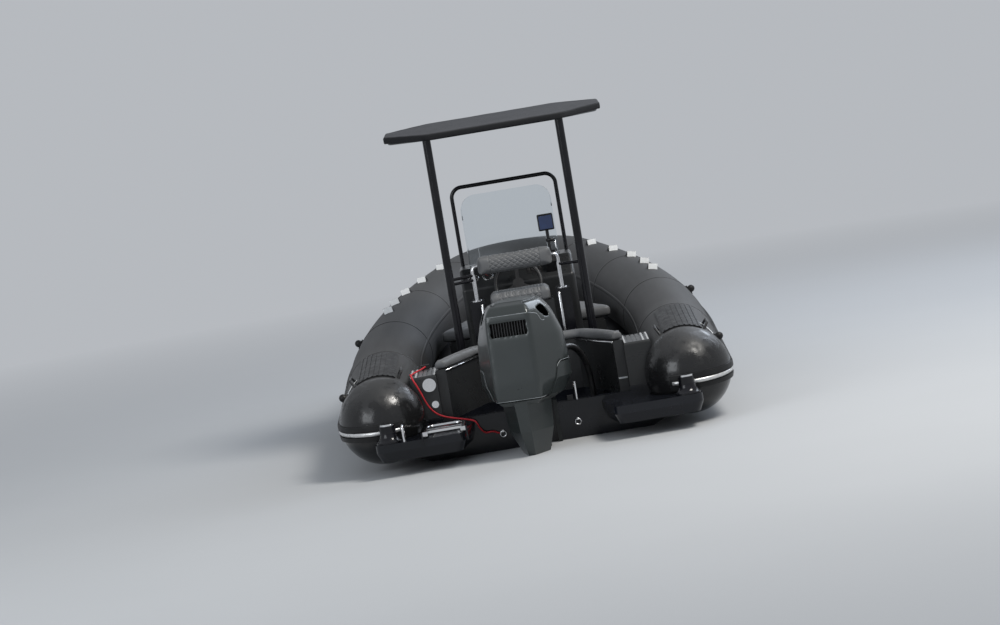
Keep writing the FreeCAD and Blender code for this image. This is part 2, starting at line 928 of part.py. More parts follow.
def bolster_shape():
    """The padded roll on the bulkhead, a domed section swept round the well's mouth."""
    low = d.bulkhead_height.value
    half = d.bolster_width.value / 2
    tall = d.bolster_height.value
    edge = d.bolster_edge.value
    aft = d.well_aft.value + half
    front = d.well_depth.value + half
    mouth = d.well_mouth.value + edge
    back = d.well_back_half_width.value + edge
    path = bent_wire([(mouth, aft, low), (back, front, low), (-back, front, low), (-mouth, aft, low)],
                     d.bolster_bend.value)
    along = (Vector(back, front, low) - Vector(mouth, aft, low)).normalize()
    across = along.cross(AXIS_Z)
    foot = Vector(mouth, aft, low)
    side = [foot + across * half, foot + across * half + AXIS_Z * (tall / 2), foot + AXIS_Z * tall,
            foot - across * half + AXIS_Z * (tall / 2), foot - across * half]
    section = Part.Wire([
        Part.makeLine(side[0], side[1]),
        Part.Arc(side[1], side[2], side[3]).toShape(),
        Part.makeLine(side[3], side[4]),
        Part.makeLine(side[4], side[0]),
    ])
    return path.makePipeShell([section], True, False)


def quarter_block():
    """The step block on the starboard quarter, with a grooved tread on its top."""
    inner = d.quarter_inner.value
    width = d.quarter_outer.value - inner
    length = d.quarter_length.value
    low = d.coaming_floor.value
    top = d.quarter_height.value
    block = Part.makeBox(width, length, top - low, Vector(inner, 0, low))
    upper = [edge for edge in block.Edges if edge.CenterOfMass.z > top - 1]
    block = block.makeFillet(d.quarter_round.value, upper)
    pitch = width / (d.tread_count.value + 1)
    depth = d.tread_depth.value
    grooves = []
    for number in range(int(d.tread_count.value)):
        corner = Vector(inner + pitch * (number + 1) - d.tread_groove.value / 2, pitch, top - depth)
        grooves.append(Part.makeBox(d.tread_groove.value, length - 2 * pitch, depth + 1, corner))
    return block.cut(grooves + [side_tube_shape(), finished("hull")])


def make_stern():
    """The well round the engine, its bulkhead and the step blocks at each quarter."""
    low = d.transom_height
    bulkhead = new_body("stern_bulkhead")
    outline = [
        (d.bulkhead_half_width, d.well_aft),
        (d.bulkhead_half_width, d.cockpit_aft),
        (-d.bulkhead_half_width, d.cockpit_aft),
        (-d.bulkhead_half_width, d.well_aft),
        (-d.well_mouth, d.well_aft),
        (-d.well_back_half_width, d.well_depth),
        (d.well_back_half_width, d.well_depth),
        (d.well_mouth, d.well_aft),
    ]
    pad(bulkhead, "XY", outline, low, d.bulkhead_height)
    keep(bulkhead, "stern_bulkhead")
    keep(solid("aft_bolster", bolster_shape()), "aft_bolster")
    keep(both_sides("quarter_blocks", quarter_block()), "quarter_blocks")

    bench = box("aft_bench", (-d.bench_half_width, d.bench_half_width),
                (d.cockpit_aft, d.cockpit_aft + d.bench_depth), (d.deck_height, d.bench_height))
    keep(bench, "aft_bench")
    cushion = padded_block("aft_bench_cushion", (-d.bench_half_width, d.bench_half_width),
                           (d.cockpit_aft + d.face_gap, d.cockpit_aft + d.bench_depth),
                           (d.bench_height, d.bench_height + d.bench_cushion))
    keep(cushion, "aft_bench_cushion")


def ring_eye(x, z):
    """A ring that hangs on a stud in the transom."""
    bar = d.eye_bar.value
    reach = d.eye_stud.value
    ring = Part.makeTorus(d.eye_ring.value, bar, Vector(x, 0.8 * bar - reach, z), AXIS_Y)
    stud = Part.makeCylinder(1.6 * bar, reach, Vector(x, 0, z + d.eye_ring.value), -AXIS_Y)
    return ring.fuse(stud)


def make_stern_fittings():
    """Rings on the transom, discs on the port quarter and the small pieces round the well."""
    z = d.eye_height.value
    eyes = [ring_eye(d.eye_x.value * side, z) for side in SIDE_NAMES]
    keep(solid("transom_eyes", Part.Compound(eyes)), "transom_eyes")
    thick = d.fitting_thickness.value
    discs = [
        Part.makeCylinder(d.disc_radius.value, thick, Vector(*DISC_PLACE), -AXIS_Y),
        Part.makeCylinder(d.cap_radius.value, thick, Vector(*CAP_PLACE), -AXIS_Y),
        Part.makeCylinder(POST_PIN[0], POST_PIN[1], Vector(*POST_PIN_PLACE, d.transom_height.value), AXIS_Z),
    ]
    top = d.platform_top.value + d.post_height.value
    for side in SIDE_NAMES:
        place = Vector(d.post_x.value * side, -d.post_y.value, top)
        discs.append(Part.makeCylinder(d.post_neck.value - thick / 2, thick, place, AXIS_Z))
    keep(solid("stern_fittings", Part.Compound(discs)), "stern_fittings")
    x, y, wide, tall = WELL_BLOCK
    block = box("well_block", (as_size(x), as_size(x + wide)), (as_size(y), as_size(y + wide)),
                (d.transom_height, d.transom_height + tall))
    x, y, wide, tall = ROPE_CLEAT
    cleat = box("rope_cleat", (as_size(x), as_size(x + wide)), (as_size(y), as_size(y + tall)),
                (d.quarter_height, d.quarter_height + tall))
    x = -d.grab_x.value
    low = d.platform_top.value
    top = low + d.grab_height.value
    front = d.grab_length.value + 2 * d.ladder_tube.value - d.platform_length.value
    aft = front - d.grab_length.value
    path = [(x, aft, low), (x, aft, top), (x, front, top), (x, front, low)]
    keep(solid("platform_grab", tube_shape(path, d.grab_bar.value, 3 * d.grab_bar.value)), "platform_grab")
    x, y = HOSE_ROUTE[-1][:2]
    flange = cylinder("hose_flange", "Z", (as_size(x), as_size(y), d.well_floor),
                      as_size(HOSE_ROUTE[-1][2]) - d.well_floor, d.gland_radius)
    keep(group("well_fittings", [block, cleat, flange]), "well_fittings")


# Places of small pieces round the well: two chrome discs on the port quarter, a post pin with its
# radius and height, and two blocks as X, Y, width and height
DISC_PLACE = (-718, 0, 535)
CAP_PLACE = (-697, 0, 395)
POST_PIN = (14, 125)
POST_PIN_PLACE = (280, 40)
WELL_BLOCK = (215, 20, 40, 35)
ROPE_CLEAT = (-775, 542, 60, 28)


def make_bow_fittings():
    """The towing eye under the stem and the cleat on the foredeck."""
    hull = finished("hull")
    half = d.bow_eye_thickness.value / 2
    bore = d.bow_eye_bore.value
    y = d.bow_eye_y.value
    z = d.bow_eye_z.value
    profile = [(y - 6 * bore, z + 9 * bore), (y + 2 * bore, z + 13 * bore), (y + 3.4 * bore, z),
               (y, z - 3.1 * bore), (y - 3.5 * bore, z)]
    corners = [Vector(-half, along, up) for along, up in profile]
    lug = Part.Face(Part.makePolygon(corners + corners[:1])).extrude(Vector(2 * half, 0, 0))
    hole = Part.makeCylinder(bore, 4 * half, Vector(-2 * half, y, z), AXIS_X)
    keep(solid("bow_eye", lug.cut(hull.fuse(hole))), "bow_eye")
    radius = d.cleat_bar.value
    length = d.cleat_length.value
    y = d.bow_cleat_y.value
    z = d.bow_cleat_z.value
    drop = d.cleat_height.value
    bar = Part.makeCylinder(radius, length, Vector(0, y - length / 2, z), AXIS_Y)
    feet = [Vector(0, y + length * share, z - drop) for share in (-0.22, 0.22)]
    legs = [Part.makeCylinder(radius, drop, foot) for foot in feet]
    cleat = bar.multiFuse(legs).cut(hull).removeSplitter()
    keep(solid("bow_cleat", cleat), "bow_cleat")


def platform_shape():
    """The starboard platform: a rounded slab over a body that tapers inwards below its rim."""
    top = d.platform_top.value
    rim = top - d.platform_edge.value
    low = top - d.platform_thickness.value
    corner = d.platform_corner.value

    def outline(inset):
        return [
            (d.platform_inner.value + inset, 0), (d.platform_outer.value - inset, 0),
            (d.platform_outer.value - inset, inset - d.platform_length.value),
            (d.platform_inner_aft.value + inset, inset - d.platform_length.value),
        ]

    bends = [0, 0, corner, corner]
    slab = rounded_prism(outline(0), bends, rim, top)
    ends = []
    for inset, z in ((0, rim), (d.platform_taper.value, low)):
        ends.append(bent_wire([(x, y, z) for x, y in outline(inset)], bends, closed=True))
    blank = slab.fuse(Part.makeLoft(ends, True, True))
    return blank.cut(cone_shape(d.platform_gap.value).fuse(side_tube_shape())).removeSplitter()


def post_shape():
    """A flared post that narrows upwards from its foot."""
    foot = d.post_foot.value
    neck = d.post_neck.value
    flare = d.post_flare.value
    rim = d.fitting_thickness.value
    side = Part.Arc(Vector(foot, 0, rim), Vector(neck + (foot - neck) * 0.25, 0, rim + flare * 0.45),
                    Vector(neck, 0, rim + flare)).toShape()
    tall = d.post_height.value
    outline = Part.Wire([
        Part.makeLine(ORIGIN, Vector(foot, 0, 0)),
        Part.makeLine(Vector(foot, 0, 0), Vector(foot, 0, rim)),
        side,
        Part.makeLine(Vector(neck, 0, rim + flare), Vector(neck, 0, tall)),
        Part.makeLine(Vector(neck, 0, tall), Vector(0, 0, tall)),
        Part.makeLine(Vector(0, 0, tall), ORIGIN),
    ])
    post = Part.Face(outline).revolve(ORIGIN, AXIS_Z, 360)
    post.translate(Vector(d.post_x.value, -d.post_y.value, d.platform_top.value))
    return post


def make_platforms():
    """Swim platforms each side of the engine, with a flared post at the outer end."""
    keep(solid("platform_starboard", platform_shape()), "platform_starboard")
    lugs = [mirrored(lug) for lug in ladder_lugs()]
    port = platform_shape().multiFuse(lugs).removeSplitter()
    keep(solid("platform_port", mirrored(port)), "platform_port")
    keep(both_sides("platform_posts", post_shape()), "platform_posts")


def ladder_rails():
    """X of the ladder's two rails."""
    middle = -d.ladder_x.value
    half = d.ladder_width.value / 2
    return middle - half, middle + half


def ladder_axis():
    return -d.ladder_hinge_y.value, d.platform_top.value + d.ladder_lift.value


def ladder_lugs():
    """A lug and its pin outside each rail of the ladder, standing on the platform's aft edge."""
    y, z = ladder_axis()
    aft = -d.platform_length.value
    rim = d.platform_top.value - d.platform_edge.value
    lug = d.ladder_lug.value
    boss = d.ladder_boss.value
    gap = d.ladder_boss_width.value / 2 + d.running_gap.value / 6
    lugs = []
    for x, out in zip(ladder_rails(), (-1, 1)):
        inner = x + out * gap
        start = inner - lug if out < 0 else inner
        profile = [(y - boss, z - boss), (y - boss, z + boss), (y + boss, z + boss),
                   (aft + 2 * boss, d.platform_top.value), (aft, d.platform_top.value), (aft, rim)]
        corners = [Vector(start, v, w) for v, w in profile]
        plate = Part.Face(Part.makePolygon(corners + corners[:1])).extrude(Vector(lug, 0, 0))
        pin_start = inner - 2 * gap if out > 0 else inner
        pin = Part.makeCylinder(d.ladder_pin.value, 2 * gap, Vector(pin_start, y, z), AXIS_X)
        lugs.append(plate.fuse(pin))
    return lugs


def make_ladder():
    """A two-rail ladder that lies on the port platform and hinges at its aft edge."""
    left, right = ladder_rails()
    aft, z = ladder_axis()
    front = aft + d.ladder_length.value
    path = [(left, aft, z), (left, front, z), (right, front, z), (right, aft, z)]
    pieces = [tube_shape(path, d.ladder_tube.value, d.ladder_bend.value)]
    wide = d.ladder_tread.value
    thick = d.ladder_tread_thickness.value
    for share in (0.33, 0.66):
        y = aft + d.ladder_length.value * share
        pieces.append(Part.makeBox(right - left, wide, thick, Vector(left, y - wide / 2, z - thick / 2)))
    boss = d.ladder_boss_width.value
    bores = []
    for x in (left, right):
        start = Vector(x - boss / 2, aft, z)
        pieces.append(Part.makeCylinder(d.ladder_boss.value, boss, start, AXIS_X))
        bores.append(Part.makeCylinder(d.ladder_pin.value + d.pin_gap.value, boss + 2,
                                       start - AXIS_X, AXIS_X))
    shape = pieces[0].multiFuse(pieces[1:]).cut(bores[0].fuse(bores[1])).removeSplitter()
    keep(solid("boarding_ladder", shape), "boarding_ladder")


def column_top():
    return d.seat_height + d.column_rise


def backrest_low():
    return d.seat_height + d.backrest_lift


def backrest_bar(side):
    """The bent tube that carries one end of the backrest on its column."""
    x = (d.column_inner.value + d.column_width.value / 2) * side
    y = d.seat_y.value + d.backrest_thickness.value / 2
    middle = backrest_low().value + d.backrest_tall.value / 2
    end = d.backrest_half_width.value * side
    path = [(x, y, column_top().value), (x, y, middle), (end, y, middle)]
    return tube_shape(path, d.frame_tube.value, 2.5 * d.frame_tube.value)


def leg_brace(side, height):
    """A straight bar from a backrest tube out to the roof's leg, trimmed to both."""
    start = Vector((d.column_inner.value + d.column_width.value / 2) * side,
                   d.seat_y.value + d.backrest_thickness.value / 2, height)
    end = Vector(d.leg_x.value * side, d.leg_y.value, height)
    bar = Part.makeCylinder(d.brace_bar.value, (end - start).Length, start, end - start)
    bar = bar.cut(finished("backrest_bars")).cut(finished("top_legs"))
    return max(bar.Solids, key=lambda piece: piece.Volume)


def make_seat():
    """The helm seat: a moulded base between two columns, with a cushion and a backrest."""
    deck = d.deck_height
    aft = d.seat_y
    base = box("seat_base", (-d.seat_half_width, d.seat_half_width), (aft, aft + d.seat_depth),
               (deck, d.seat_height))
    keep(base, "seat_base")
    cushion = padded_block("seat_cushion", (-d.seat_half_width, d.seat_half_width),
                           (aft, aft + d.seat_depth + d.seat_nose),
                           (d.seat_height, d.seat_height + d.seat_cushion))
    keep(cushion, "seat_cushion")
    half = d.backrest_half_width
    back = padded_block("backrest", (-half, half), (aft, aft + d.backrest_thickness),
                        (backrest_low(), backrest_low() + d.backrest_tall))
    keep(back, "backrest")
    columns = []
    for side, name in SIDE_NAMES.items():
        inner = d.column_inner if side == STARBOARD else -d.column_inner - d.column_width
        columns.append(box(f"seat_column_{name}", (inner, inner + d.column_width),
                           (aft, aft + d.seat_depth), (deck, column_top())))
    bars = [backrest_bar(side).cut(finished("backrest")) for side in SIDE_NAMES]
    keep(solid("backrest_bars", Part.Compound(bars)), "backrest_bars")
    keep(group("seat_columns", columns), "seat_columns")


def make_braces():
    """Bars between the seat's backrest tubes and the roof's legs, one to starboard and two to port."""
    height = (d.seat_height + d.brace_lift).value
    half = d.brace_spread.value / 2
    braces = [leg_brace(STARBOARD, height), leg_brace(PORT, height - half), leg_brace(PORT, height + half)]
    keep(solid("leg_braces", Part.Compound(braces)), "leg_braces")


def octagon(inset):
    """The roof's plan, brought in by an inset."""
    wide = d.roof_half_width - inset
    narrow = d.roof_end_half_width - inset
    aft = d.roof_aft + inset
    front = d.roof_front - inset
    right = [(narrow, aft), (wide, d.roof_wide_aft), (wide, d.roof_wide_front), (narrow, front)]
    return right + [(-x, y) for x, y in reversed(right)]


def roof_prism(inset, low, high):
    """The roof's plan, brought in by an inset, filled between two heights."""
    return prism([(x.value, y.value) for x, y in octagon(as_size(inset))], low, high)


def make_top():
    """Two legs, a tube frame and the canvas roof, whose skirt hangs round the frame."""
    z = d.roof_height.value - d.roof_tube.value
    inset = d.roof_inset.value
    points = [(x.value, y.value, z) for x, y in octagon(d.roof_inset)]
    ring = tube_shape(points, d.roof_tube.value, d.roof_bend.value, closed=True)
    bars = []
    length = d.roof_front.value - d.roof_aft.value - 2 * inset
    for side in SIDE_NAMES:
        start = Vector(d.leg_x.value * side, d.roof_aft.value + inset, z)
        bars.append(Part.makeCylinder(d.roof_tube.value, length, start, AXIS_Y))
    middle = (d.roof_wide_aft.value + d.roof_wide_front.value) / 2
    bars.append(Part.makeCylinder(d.roof_tube.value, 2 * (d.roof_half_width.value - inset),
                                  Vector(inset - d.roof_half_width.value, middle, z), AXIS_X))
    frame = ring.multiFuse(bars)
    keep(solid("roof_frame", frame), "roof_frame")
    deck = d.deck_height.value
    foot = Vector(d.leg_x.value, d.leg_y.value, deck)
    leg = Part.makeCylinder(d.leg_radius.value, z - deck, foot, AXIS_Z).cut(frame)
    keep(both_sides("top_legs", max(leg.Solids, key=lambda piece: piece.Volume)), "top_legs")
    low = d.roof_height.value - d.roof_skirt.value
    top = d.roof_height.value + d.roof_thickness.value
    slab = roof_prism(0, low, top)
    slab = slab.makeFillet(d.roof_round.value, [edge for edge in slab.Edges if edge.CenterOfMass.z > top - 1])
    canopy = slab.cut(roof_prism(d.roof_skirt_wall, low - 1, d.roof_height.value))
    keep(solid("canopy", canopy), "canopy")


def console_front():
    return d.console_aft + d.console_depth


def make_console():
    """The console with its windshield, rail, instruments and the seat on its front."""
    aft = d.console_aft
    front = console_front()
    body = new_body("console")
    profile = [
        (aft + d.console_toe, d.deck_height),
        (front, d.deck_height),
        (front, d.console_height),
        (aft + d.console_slope, d.console_height),
        (aft, d.console_height - d.console_slope),
    ]
    pad(body, "YZ", profile, -d.console_half_width, d.console_half_width)
    round_edges(body, d.console_round, lambda edge: edge.CenterOfMass.z > d.deck_height.value + 1
                and edge.CenterOfMass.y < front.value - 1)
    keep(body, "console")
    keep(solid("windshield", windshield_shape()), "windshield")

    x = d.rail_half_width.value
    y = front.value - d.rail_setback.value
    low = d.console_height.value
    top = d.rail_top.value
    path = [(-x, y, low), (-x, y, top), (x, y, top), (x, y, low)]
    keep(solid("console_rail", tube_shape(path, d.rail_tube.value, d.rail_bend.value)), "console_rail")

    wide = (-d.console_half_width, d.console_half_width)
    seat = box("front_seat", wide, (front, front + d.front_seat_depth), (d.deck_height, d.front_seat_height))
    keep(seat, "front_seat")
    top = d.front_seat_height + d.front_seat_cushion
    keep(padded_block("front_seat_cushion", wide, (front, front + d.front_seat_depth),
                      (d.front_seat_height, top)), "front_seat_cushion")
    keep(padded_block("front_seat_back", wide, (front, front + d.front_back_thickness),
                      (top, d.front_back_top)), "front_seat_back")
    make_instruments()


def windshield_shape():
    """A bent screen whose wings fall away aft and whose top corners are rounded."""
    half = d.screen_half_width.value
    wall = d.screen_thickness.value
    corner = d.screen_corner.value
    y = console_front().value - d.screen_setback.value
    aft = y - d.screen_wing.value
    low = d.console_height.value
    top = d.screen_top.value
    slant = wall * math.tan(math.radians(22.5))
    plan = [
        (half, aft), (half, y - corner), (half - corner, y), (corner - half, y), (-half, y - corner),
        (-half, aft), (wall - half, aft), (wall - half, y - corner - slant),
        (corner - half + slant, y - wall), (half - corner - slant, y - wall),
        (half - wall, y - corner - slant), (half - wall, aft),
    ]
    radius = d.screen_round.value
    face = Part.Face(bent_wire([(half, 0, low), (half, 0, top), (-half, 0, top), (-half, 0, low)],
                               [0, radius, radius, 0], closed=True))
    rake = d.screen_rake.value
    side = [(aft, low), (y, low), (y, top), (y - 2 * corner, top), (aft, top - rake)]
    corners = [Vector(-half, along, up) for along, up in side]
    wings = Part.Face(Part.makePolygon(corners + corners[:1])).extrude(Vector(2 * half, 0, 0))
    screen = prism(plan, low, top).common(face.extrude(Vector(0, y, 0)))
    return screen.common(wings)


def make_instruments():
    """The chart display on its stalk and the throttle box on the console's slope."""
    aft = d.console_aft.value
    x = d.display_x.value
    width = d.display_width.value
    depth = d.display_depth.value
    low = d.console_height.value
    y = aft + d.console_slope.value + d.console_round.value
    lift = d.display_lift.value
    screen = Part.makeBox(width, depth, d.display_tall.value, Vector(x, y, low + lift))
    rounded = [edge for edge in screen.Edges if edge.CenterOfMass.y < y + depth - 1]
    screen = screen.makeFillet(depth / 5, rounded)
    stalk = Part.makeCylinder(depth / 4, lift + depth / 2, Vector(x + width / 2, y + depth / 2, low))
    foot = Part.makeCylinder(depth / 2, depth / 5, Vector(x + width / 2, y + depth / 2, low))
    keep(solid("display", screen.multiFuse([stalk, foot]).removeSplitter()), "display")
    throttle = new_body("throttle")
    foot = d.console_height - d.console_slope
    reach = d.throttle_width
    profile = [
        (d.console_aft + reach * 0.4, foot + reach * 0.4),
        (d.console_aft + reach * 1.5, foot + reach * 1.5),
        (d.console_aft + reach, foot + reach * 2.4),
        (d.console_aft, foot + reach * 1.4),
    ]
    pad(throttle, "YZ", profile, d.throttle_x, d.throttle_x + d.throttle_width)
    keep(throttle, "throttle")


def wheel_place():
    """The frame of the helm wheel: its plane raked back from upright, its axis the frame's Z."""
    centre = Vector(0, d.console_aft.value - d.wheel_reach.value,
                    d.console_height.value - d.wheel_drop.value)
    return Placement(centre, Rotation(AXIS_X, 90 - d.wheel_rake.value))


def make_wheel():
    """The helm wheel on its short shaft, raked back."""
    radius = d.wheel_radius.value
    rim = Part.makeTorus(radius, d.wheel_rim.value)
    shaft_radius = d.shaft_radius.value
    hub_radius = d.bezel_radius.value - d.pin_gap.value
    hub = Part.makeCylinder(hub_radius, 2 * d.wheel_rim.value, Vector(0, 0, -1.4 * d.wheel_rim.value))
    reach = d.wheel_reach.value
    pieces = [hub, Part.makeCylinder(shaft_radius, reach, ORIGIN, -AXIS_Z)]
    wide = 1.9 * d.wheel_rim.value
    for turn in (90, 210, 330):
        spoke = Part.makeBox(radius, wide, wide / 3, Vector(0, -wide / 2, -wide / 6))
        spoke.rotate(ORIGIN, AXIS_Z, turn)
        pieces.append(spoke)
    shape = rim.multiFuse(pieces).removeSplitter()
    shape.transformShape(wheel_place().toMatrix())
    keep(solid("helm_wheel", shape), "helm_wheel")
    start = Vector(0, 0, -reach * 2 / 3)
    bezel = Part.makeCylinder(d.bezel_radius.value, reach, start, -AXIS_Z)
    bore = Part.makeCylinder(shaft_radius + d.pin_gap.value, reach * 0.4, start + AXIS_Z, -AXIS_Z)
    bezel = bezel.cut(bore)
    bezel.transformShape(wheel_place().toMatrix())
    bezel = bezel.cut(finished("console"))
    keep(solid("wheel_bezel", min(bezel.Solids, key=lambda piece: piece.CenterOfMass.y)), "wheel_bezel")


def locker_aft():
    return console_front().value + d.front_seat_depth.value + d.forward_way.value


def make_bow_locker():
    """A hollow locker, its lid and the cushion on the lid."""
    aft = locker_aft()
    lid_front = aft + d.lid_length.value
    wall = d.locker_wall.value
    low = d.deck_height.value
    top = d.locker_height.value
    outside = prism(cockpit_outline(0.0, aft, d.cockpit_front.value), low, top)
    inside = prism(cockpit_outline(wall, aft + wall, lid_front - wall), low + wall, top + wall)
    keep(solid("bow_locker", outside.cut(inside)), "bow_locker")
    thick = d.lid_thickness.value
    lid = prism(cockpit_outline(d.lid_gap.value, aft, lid_front), top + d.face_gap.value, top + thick)
    keep(solid("locker_lid", lid), "locker_lid")
    wide = d.bow_cushion_half_width.value
    narrow = d.bow_cushion_front_half_width.value
    plan = [(wide, aft), (narrow, lid_front), (-narrow, lid_front), (-wide, aft)]
    low = top + thick
    cushion = prism(plan, low, low + d.bow_cushion.value)
    rounded = [edge for edge in cushion.Edges if edge.CenterOfMass.z > low + 1]
    keep(solid("bow_cushion", cushion.makeFillet(d.padding_round.value, rounded)), "bow_cushion")


def steered(shape):
    """Turn an engine piece, built straight, to the angle at which it rests."""
    turned = shape.copy()
    turned.rotate(Vector(0, -d.steer_y.value, 0), AXIS_Z, -d.steer_rest.value)
    return turned


def side_plate(points, start, width):
    """A plate across X whose outline is given as Y and Z."""
    corners = [Vector(start, y, z) for y, z in points]
    return Part.Face(Part.makePolygon(corners + corners[:1])).extrude(Vector(width, 0, 0))


def make_brackets():
    """The clamp bracket on the transom and the swivel bracket that tilts on it."""
    y = -d.tilt_y.value
    z = d.tilt_z.value
    gap = d.bracket_gap.value
    plate = d.bracket_plate.value
    low = z - d.bracket_drop.value
    hook = d.transom_height.value
    boss = 2 * d.tilt_tube.value
    outline = [
        (0, low), (0, hook), (plate, hook), (plate, hook + plate / 2), (y, z + plate),
        (y - boss, z), (y - plate, z - 0.3 * d.bracket_drop.value), (-plate, low),
    ]
    cheeks = [side_plate(outline, gap, plate), side_plate(outline, -gap - plate, plate)]
    rod = Part.makeCylinder(d.tilt_tube.value, 2 * (gap + plate), Vector(-gap - plate, y, z), AXIS_X)
    brace = Part.makeBox(2 * gap, plate - 3, 2 * plate, Vector(-gap, 3 - plate, low + plate))
    keep(solid("clamp_bracket", cheeks[0].multiFuse([cheeks[1], rod, brace])), "clamp_bracket")

    steer = -d.steer_y.value
    radius = d.swivel_radius.value
    inner = gap - 4
    sleeve = Part.makeCylinder(d.tilt_tube.value + 16, 2 * inner, Vector(-inner, y, z), AXIS_X)
    web = side_plate([(steer, z - 190), (y - 40, z - 120), (y, z - 30), (y, z - 20), (steer, z - 20)],
                     7 - radius * 1.25, 2.5 * radius - 14)
    low = -d.swivel_bottom.value
    barrel = Part.makeCylinder(radius, d.swivel_top.value - low, Vector(0, steer, low), AXIS_Z)
    bore = Part.makeCylinder(d.tilt_tube.value + d.pin_gap.value, 2 * inner + 2,
                             Vector(-inner - 1, y, z), AXIS_X)
    pin_bore = Part.makeCylinder(d.king_pin.value + d.pin_gap.value, 2 * d.cowl_top.value,
                                 Vector(0, steer, 2 * low), AXIS_Z)
    swivel = sleeve.multiFuse([web, barrel]).cut(bore.fuse(pin_bore)).removeSplitter()
    keep(solid("swivel_bracket", swivel), "swivel_bracket")


def leg_front():
    """Y of the leg's leading edge, just behind the steering barrel."""
    return -d.steer_y.value - d.swivel_radius.value - 15


def strut_section(z, nose, widest, tail, half_width):
    """A streamlined six-cornered outline: blunt nose, widest point and thin tail, at one height."""
    middle = nose + (tail - nose) * widest
    right = [(0.45 * half_width, nose), (half_width, middle), (0.25 * half_width, tail)]
    corners = [Vector(x, y, z) for x, y in right + [(-x, y) for x, y in reversed(right)]]
    return Part.makePolygon(corners + corners[:1])


def leg_shape():
    """The king pin, its two arms and the streamlined leg down to the plate."""
    steer = -d.steer_y.value
    pin = d.king_pin.value
    low = d.plate_height.value
    top = d.cowl_bottom.value
    yoke = -d.swivel_bottom.value - d.running_gap.value
    front = leg_front()
    half = d.leg_half_width.value
    neck = -d.fairing_bottom.value
    reach = d.arm_reach.value
    core = Part.makeBox(1.8 * half, 1.07 * reach, top - neck, Vector(-0.9 * half, front - 1.17 * reach, neck))
    strut = Part.makeLoft([
        strut_section(low, front + 5, 0.35, propeller_front() - 40, half),
        strut_section(neck, front, 0.4, propeller_front() - 10, half),
    ], True, True)
    arm = pin + 10
    thick = d.arm_thickness.value
    length = steer - front + reach + arm
    lower_arm = Part.makeBox(2 * arm - 10, length, thick, Vector(5 - arm, front - reach, yoke - thick))
    upper_arm = Part.makeBox(2 * arm - 10, length, 0.57 * thick,
                             Vector(5 - arm, front - reach, d.swivel_top.value + 10))
    king = Part.makeCylinder(pin, top - yoke, Vector(0, steer, yoke), AXIS_Z)
    return core.multiFuse([strut, lower_arm, upper_arm, king]).removeSplitter()


def torpedo_shape():
    """The gearcase's body: a pointed nose, a full middle and a tail as wide as the hub."""
    radius = d.gearcase_radius.value
    tail = propeller_front() + d.face_gap.value
    nose = leg_front() + 2.3 * radius
    shoulder = nose - 2.4 * radius
    outline = Part.Wire([
        Part.makeLine(Vector(0, tail, 0), Vector(d.prop_hub.value, tail, 0)),
        Part.Arc(Vector(d.prop_hub.value, tail, 0),
                 Vector(0.98 * radius, (tail + shoulder) / 2 - radius / 3, 0),
                 Vector(radius, shoulder, 0)).toShape(),
        Part.Arc(Vector(radius, shoulder, 0), Vector(0.78 * radius, nose - radius, 0),
                 Vector(0, nose, 0)).toShape(),
        Part.makeLine(Vector(0, nose, 0), Vector(0, tail, 0)),
    ])
    body = Part.Face(outline).revolve(ORIGIN, AXIS_Y, 360)
    body.translate(Vector(0, 0, d.prop_height.value))
    return body


def propeller_front():
    """Y of the face on which the propeller's hub runs."""
    return leg_front() - d.prop_setback.value


def make_gearcase():
    """The plate over the propeller, the strut, the gearcase's body, the skeg and the shaft."""
    front = leg_front()
    low = d.plate_height.value
    torpedo_z = d.prop_height.value
    thick = d.plate_thickness.value
    half = d.plate_half_width.value
    aft = propeller_front() - d.prop_hub_length.value
    right = [(0.3 * half, front + 150), (half, front - 20), (half, aft + 60), (0.6 * half, aft)]
    plan = right + [(-x, y) for x, y in reversed(right)]
    plate = rounded_prism(plan, 25, low - thick, low)
    strut = Part.makeLoft([
        strut_section(torpedo_z, front + 60, 0.45, propeller_front() + 5, 0.6 * d.leg_half_width.value),
        strut_section(low, front + 5, 0.4, propeller_front() + 5, d.leg_half_width.value),
    ], True, True)
    bottom = d.skeg_bottom.value
    root = d.skeg_root.value
    blade = d.skeg_thickness.value
    skeg = side_plate([(front, torpedo_z), (front - root / 2, bottom), (front - 0.86 * root, bottom),
                       (front - root, torpedo_z)], -blade / 2, blade)
    shaft = Part.makeCylinder(d.prop_shaft.value, d.prop_hub_length.value - 25,
                              Vector(0, propeller_front() + 5, torpedo_z), -AXIS_Y)
    gearcase = plate.multiFuse([strut, torpedo_shape(), skeg, shaft]).removeSplitter()
    keep(solid("gearcase", steered(gearcase)), "gearcase")


# Propeller blade sections: radius and chord as shares of the blade's radius, thickness in mm
BLADE_SECTIONS = [
    (0.26, 0.52, 15),
    (0.45, 0.74, 11),
    (0.65, 0.86, 8),
    (0.85, 0.76, 6),
    (0.96, 0.52, 4),
    (1.0, 0.30, 3),
]


def blade_shape():
    """One blade: lens-shaped sections along X, each turned to the pitch at its radius."""
    tip = d.prop_radius.value
    sections = []
    for radius_share, chord_share, thickness in BLADE_SECTIONS:
        radius = tip * radius_share
        half = tip * chord_share / 2
        rake = 12 * radius_share
        bulge = thickness / 2
        wire = Part.Wire([
            Part.Arc(Vector(0, -half, 0), Vector(0, 0, bulge), Vector(0, half, 0)).toShape(),
            Part.Arc(Vector(0, half, 0), Vector(0, 0, -bulge), Vector(0, -half, 0)).toShape(),
        ])
        pitch_angle = math.degrees(math.atan(d.prop_pitch.value / (2 * math.pi * radius)))
        wire.rotate(ORIGIN, AXIS_X, 90 - pitch_angle)
        wire.translate(Vector(radius, -rake, 0))
        sections.append(wire)
    return Part.makeLoft(sections, True, True)


